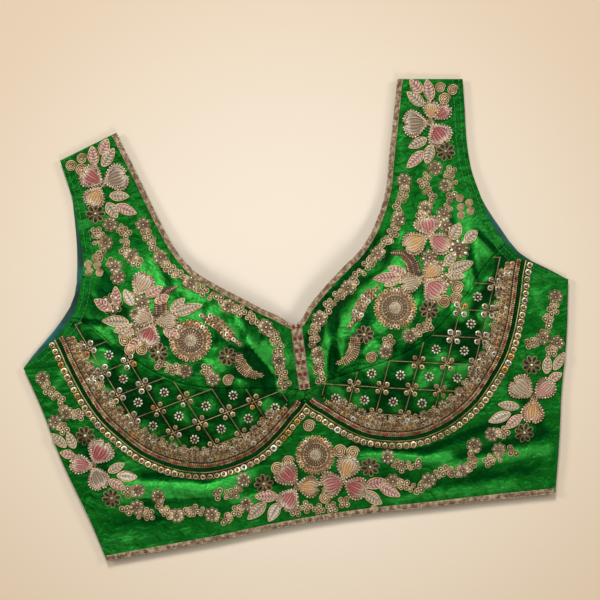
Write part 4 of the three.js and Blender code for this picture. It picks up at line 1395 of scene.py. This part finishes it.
class CHOLI_OT_borders(CholiPiece, bpy.types.Operator):
    """Beaded and sequined borders inside and outside the cup piping"""

    bl_idname = "choli.borders"
    bl_label = "Cup borders"

    def execute(self, context):
        for side, word in SIDES:
            work = Embroidery(20 + side)
            edge = EDGE_PATH[side]

            def lane(distance, start=3.0, end=2.0):
                path = beside(walk(edge, np.linspace(0, 1, 400)), side * distance)
                total = run_of(path)[-1]
                return walk(path, np.linspace(start / total, 1 - end / total, 400))

            inner = lane(3.2, 5)
            for offset, colour in ((-1.3, FAWN), (0.0, GOLD), (1.3, FAWN)):
                spots = paced(beside(inner, offset), 1.7)
                way = headings(spots)
                beads(work.bead, spots, 0.68, colour, work.rng, np.arctan2(way[:, 1], way[:, 0]), 1.3)
            dash = paced(inner, 1.5)
            dash = dash[(np.arange(len(dash)) // 3) % 3 == 0]
            beads(work.bead, dash, 0.85, CRIMSON, work.rng, above=0.35)
            # Painted shade: a dark cord between the bead rows and the sequin rows, and flat dark cords under
            # the sequin rows.
            work.thread.cord(lane(5.6, 6)[None], 0.7, -0.6, SHADE_BROWN, 4)
            for distance, pitch, size in ((8.2, 4.3, 2.0), (12.4, 4.5, 1.9)):
                path = lane(distance, 8 + distance, 4 + distance / 4)
                work.thread.cord(path[None], 2.2, -1.2, SHADE_BROWN, 6, flat=0.36)
                spots = paced(path, pitch)
                work.ring_sequin(spots, size, GOLD, 0.14)
                between = (spots[:-1] + spots[1:]) / 2
                for step in (-1.4, 0.0, 1.4):
                    beads(work.bead, beside(between, step), 0.6, FAWN if step else IVORY, work.rng)
            beads(work.bead, paced(lane(10.3, 12, 6), 2.2), 0.55, FAWN, work.rng)
            for k, (x, y) in enumerate(paced(lane(15.6, 26, 16), 9.0)):
                if k % 2:
                    work.loop_flower(x, y, 4.2, work.rng.uniform(0, 6), 4)
                else:
                    work.bead_flower(x, y, 4.2, work.rng.uniform(0, 6))
            work.cord.cord(lane(-2.6, 3, 1)[None], 0.45, 0.1, FAWN, 5, twist=0.22, pitch=1.5)
            spots = paced(lane(-6.6, 8, 4), 6.0)
            work.ring_sequin(spots, 2.7, PALE_GOLD, 0.1)
            between = (spots[:-1] + spots[1:]) / 2
            for step in (-1.9, 1.9):
                beads(work.bead, beside(between, step), 0.5, FAWN, work.rng)
            work.finish(f"cup_border_{word}")
        return {"FINISHED"}


class CHOLI_OT_lattice(CholiPiece, bpy.types.Operator):
    """Quilted lattice of the lower cups: cords, sequins at the crossings and a flower in each cell"""

    bl_idname = "choli.lattice"
    bl_label = "Lattice"

    def execute(self, context):
        across, down = np.array(LATTICE["across"]), np.array(LATTICE["down"])
        start = np.array((LATTICE["x"], LATTICE["y"]))
        run = np.linspace(-8, 8, 1400)[:, None]
        cells = np.array([(i, j) for i in range(-7, 8) for j in range(-7, 8)], float)

        def field(spots, reach, clear, centre):
            """Which spots lie within the pad's reach, clear of the seam and of the centre."""
            share, _ = pad_share(*spots.T)
            return (share < reach) & (under_seam(*spots.T) > clear) & (spots[:, 0] > centre)

        def chosen_cells(shift, reach, clear):
            spots = start + (cells[:, :1] + shift) * across + (cells[:, 1:] + shift) * down
            return spots[field(spots, reach, clear, 14)]

        for side, word in SIDES:
            work = Embroidery(40 + side)
            for k in range(-7, 8):
                for fixed, free in ((across, down), (down, across)):
                    path = start + fixed * k + free * run
                    path = path[field(path, 0.87, 0.6, 12)] * (side, 1)
                    if len(path) > 20:
                        work.cord.cord(paced(path, 0.9)[None], 0.33, -0.12, BRONZE, 4, twist=0.4, pitch=2.2)
            spots = chosen_cells(0.0, 0.86, 2.0) * (side, 1)
            # Painted glints: on the lit upper outer part of each cup most ring sequins are silver, elsewhere
            # few.
            lit = spots[:, 0] * side + spots[:, 1] > 142
            for dx, dy in ((4.3, 2.3), (-2.3, 4.3), (-4.3, -2.3), (2.3, -4.3)):
                for chosen, glint_share, size in ((lit, 0.85, 2.3), (~lit, 0.12, 1.95)):
                    if chosen.any():
                        work.ring_sequin(spots[chosen] + (dx * side, dy), size, PALE_GOLD, glint_share)
            for dx, dy in ((0, 0), (1.7, 0.6), (-1.7, -0.6), (-0.6, 1.7), (0.6, -1.7)):
                beads(work.bead, spots + (dx, dy), 0.8, FAWN, work.rng, above=0.3)
            for x, y in chosen_cells(0.5, 0.83, 5.0) * (side, 1):
                work.lattice_flower(x, y)
            work.finish(f"lattice_{word}")
        return {"FINISHED"}


class CHOLI_OT_bouquets(CholiPiece, bpy.types.Operator):
    """Rosettes, padded flowers, leaves, discs and paisleys on the cups, straps and sides"""

    bl_idname = "choli.bouquets"
    bl_label = "Bouquets"

    def execute(self, context):
        for side, word in SIDES:
            work = Embroidery(60 + side)
            for x, y, size in BOSSES:
                work.bead_flower(*lay(x, y, side), size)
            for rows, widths, colour, rings in HOOKS:
                work.hook(laid_rows(rows, side), widths, colour, rings)
            work.rosette(*lay(85.5, 62, side))
            for *row, sides in LEAVES:
                if side in sides:
                    leaf(work, *row, side)
            for *row, sides in PETALS:
                if side in sides:
                    petal(work, *row, side)
            for x, y in {(hx, hy) for hx, hy, *_, sides in PETALS if side in sides}:
                work.bead_flower(*lay(x, y, side), 3.4)
            for x, y, size in DISCS:
                work.disc(*lay(x, y, side), size)
            for x, y, size in STONE_FLOWERS:
                work.stone_flower(*lay(x, y, side), size, work.rng.uniform(0, 1))
            work.finish(f"bouquet_{word}")
        work = Embroidery(80)
        work.rosette(1.5, -49, 16.5)
        for row in BAND_LEAVES:
            leaf(work, *row, RIGHT)
        for row in BAND_PETALS:
            petal(work, *row, RIGHT)
        for x in (-17, 20):
            work.bead_flower(x, -73, 3.4)
        for x, y, size in BAND_DISCS:
            work.disc(x, y, size)
        for x, y, size in BAND_STONES:
            work.stone_flower(x, y, size)
        for k, (x, y) in enumerate(HEM_SPRIGS):
            work.loop_flower(x, y, 5.4, k * 1.3, 4)
        work.finish("band_bouquet")
        return {"FINISHED"}


class CHOLI_OT_vines(CholiPiece, bpy.types.Operator):
    """Vines of small beaded flowers on the neck, straps, cups, sides and band"""

    bl_idname = "choli.vines"
    bl_label = "Vines"

    def execute(self, context):
        for side, word in SIDES:
            work = Embroidery(90 + side)
            for rows in (NECK_VINE, STRAP_VINE, STRAP_SPRAY, SEAM_VINE, SEAM_SPRAY, SIDE_VINE, SIDE_SPRAY,
                         BAND_VINE, BAND_TOP_VINE, BAND_LOW_VINE, BAND_SPRIGS):
                work.vine(laid_rows(rows, side))
            work.finish(f"vine_{word}")
        return {"FINISHED"}


class CHOLI_OT_stitches(CholiPiece, bpy.types.Operator):
    """Topstitching along the armholes"""

    bl_idname = "choli.stitches"
    bl_label = "Topstitching"

    def execute(self, context):
        s = settings()
        stitch = s.stitch_length / MM
        for side, word in SIDES:
            work = Work()
            for distance in (3.5, 8.5):
                path = beside(ARMHOLE_PATH[side], -side * distance)
                spots = paced(path, stitch * 1.35, 1.5, 10 + distance)
                way = headings(spots)
                run = np.linspace(-0.5, 0.5, 4)[None, :, None] * stitch
                paths = spots[:, None] + way[:, None] * run
                work.cord(paths, 0.2, 0.02, (0.05, 0.42, 0.12), 4)
            work.make(f"armhole_stitches_{word}", finishes["thread"], "satin")
        return {"FINISHED"}


# The stage: where the camera looks on the plan, its turn in degrees, and the floor, in metres.
VIEW_CENTRE = (9.0, 81.1, 0.0)
VIEW_TURN = -9.0
LENS, SENSOR = 170, 36
FLOOR_HALF, FLOOR_DROP = 3.0, 0.0004


class CHOLI_OT_studio(bpy.types.Operator):
    """Pale floor, soft lights and the camera straight above the blouse"""

    bl_idname = "choli.studio"
    bl_label = "Floor, lights and camera"

    def execute(self, context):
        s = settings()
        mesh = bpy.data.meshes.new("floor")
        corners = [(u * FLOOR_HALF, v * FLOOR_HALF, -FLOOR_DROP)
                   for u, v in ((-1, -1), (1, -1), (1, 1), (-1, 1))]
        mesh.from_pydata(corners, [], [(0, 1, 2, 3)])
        floor = bpy.data.objects.new("floor", mesh)
        mesh.materials.append(finishes["floor"])
        context.scene.collection.objects.link(floor)
        aim = (np.array(VIEW_CENTRE) - SHIFT) * MM
        turn = math.radians(VIEW_TURN)
        up = np.array((math.sin(-turn), math.cos(turn)))
        right = np.array((up[1], -up[0]))
        lights = (  # name, along right, along up, height, size, power, colour
            ("left_softbox", -2.4, 0.7, 1.6, 0.9, s.key_power, (1.0, 0.97, 0.93)),
            ("right_softbox", 2.4, 0.9, 1.8, 0.9, s.key_power * 0.8, (1.0, 0.97, 0.93)),
            ("top_softbox", -0.4, 2.6, 2.6, 1.1, s.key_power * 3.4, (1.0, 0.98, 0.95)),
            ("front_fill", 0.9, -2.2, 2.2, 1.1, s.key_power * 0.8, (1.0, 0.97, 0.92)),
        )
        for name, side, along, height, size, power, colour in lights:
            data = bpy.data.lights.new(name, "AREA")
            data.shape, data.size, data.energy, data.color = "DISK", size, power, colour
            lamp = bpy.data.objects.new(name, data)
            spot = np.array((*(aim[:2] + right * side + up * along), height))
            lamp.location = spot
            lamp.rotation_euler = vector_turn(np.array((*aim[:2], 0.0)) - spot)
            context.scene.collection.objects.link(lamp)
        world = bpy.data.worlds.new("studio")
        world.use_nodes = True
        sky = world.node_tree.nodes["Background"]
        sky.inputs[0].default_value = (1.0, 0.95, 0.88, 1)
        sky.inputs[1].default_value = s.air_light
        context.scene.world = world
        camera_data = bpy.data.cameras.new("camera")
        camera_data.lens, camera_data.sensor_width = LENS, SENSOR
        camera = bpy.data.objects.new("camera", camera_data)
        camera.location = (aim[0], aim[1], s.camera_height)
        camera.rotation_euler = (0, 0, turn)
        context.scene.collection.objects.link(camera)
        context.scene.camera = camera
        context.scene.view_settings.view_transform = "Standard"
        return {"FINISHED"}


def vector_turn(look):
    """Turns about x and z that point a light's -z along a direction."""
    flat = math.hypot(look[0], look[1])
    return (math.atan2(flat, -look[2]), 0, math.atan2(look[0], -look[1]) + math.pi)


def colour_property(name, description, default):
    return FloatVectorProperty(name=name, description=description, subtype="COLOR", size=3,
                               default=default, min=0, max=1)


def length_property(name, description, default):
    return FloatProperty(name=name, description=description, unit="LENGTH", default=default,
                         min=0, precision=5)


class CholiSettings(bpy.types.PropertyGroup):
    """Sizes and colours that a user would change"""

    front_wall: length_property("Front wall", "Thickness of the front's satin and pad", 0.0016)
    back_wall: length_property("Back wall", "Thickness of the back's satin", 0.0012)
    lining_wall: length_property("Lining wall", "Thickness of the lining", 0.001)
    cord_radius: length_property("Cord radius", "Radius of the cup piping", 0.0013)
    braid_width: length_property("Braid width", "Width of the flat braid", 0.0047)
    braid_repeat: length_property("Braid repeat", "Length of one beige and red dash", 0.01)
    stitch_length: length_property("Stitch length", "Length of a topstitch", 0.0026)
    camera_height: length_property("Camera height", "Height of the camera over the surface", 2.38)
    satin_gloss: FloatProperty(name="Satin gloss", description="Metallic share of the satin",
                              default=0.6, subtype="FACTOR", min=0, max=1)
    key_power: FloatProperty(name="Key power", description="Power of the side lights",
                             default=27, unit="POWER")
    air_light: FloatProperty(name="Air light", description="Strength of the light from all round",
                             default=0.16)
    # The deep green is painted shade in the troughs of the folds as well as random darker tone; the bright
    # green is painted highlight on their ridges and also tints the gloss.
    satin_shade: colour_property("Deep green", "Satin in its folds", (0.0, 0.04, 0.005))
    satin_mid: colour_property("Green", "Satin", (0.005, 0.125, 0.011))
    satin_bright: colour_property("Bright green", "Satin where it catches light", (0.035, 0.37, 0.05))
    lining_teal: colour_property("Teal", "Lining", (0.0, 0.13, 0.12))
    # The dark gold is painted shade in the braid's hollows, the light gold painted highlight on its crests.
    gold_light: colour_property("Light gold", "Braid", (0.78, 0.6, 0.42))
    gold_dark: colour_property("Dark gold", "Braid in its hollows", (0.22, 0.15, 0.09))
    braid_red: colour_property("Braid red", "Dashes of the braid", (0.2, 0.02, 0.024))


STEPS = ("back", "front", "trims", "borders", "lattice", "bouquets", "vines", "stitches", "studio")


class CHOLI_PT_panel(bpy.types.Panel):
    """Lists the blouse's pieces in the sidebar"""

    bl_label = "Choli Blouse"
    bl_idname = "CHOLI_PT_panel"
    bl_space_type = "VIEW_3D"
    bl_region_type = "UI"
    bl_category = "Choli"

    def draw(self, context):
        for step in STEPS:
            self.layout.operator(f"choli.{step}")


CLASSES = (
    CholiSettings, CHOLI_OT_back, CHOLI_OT_front, CHOLI_OT_trims, CHOLI_OT_borders, CHOLI_OT_lattice,
    CHOLI_OT_bouquets, CHOLI_OT_vines, CHOLI_OT_stitches, CHOLI_OT_studio, CHOLI_PT_panel,
)


def register():
    for each in CLASSES:
        bpy.utils.register_class(each)
    bpy.types.Scene.choli = PointerProperty(type=CholiSettings)


def unregister():
    del bpy.types.Scene.choli
    for each in reversed(CLASSES):
        bpy.utils.unregister_class(each)


def main():
    register()
    for step in STEPS:
        getattr(bpy.ops.choli, step)()


if __name__ == "__main__":
    main()
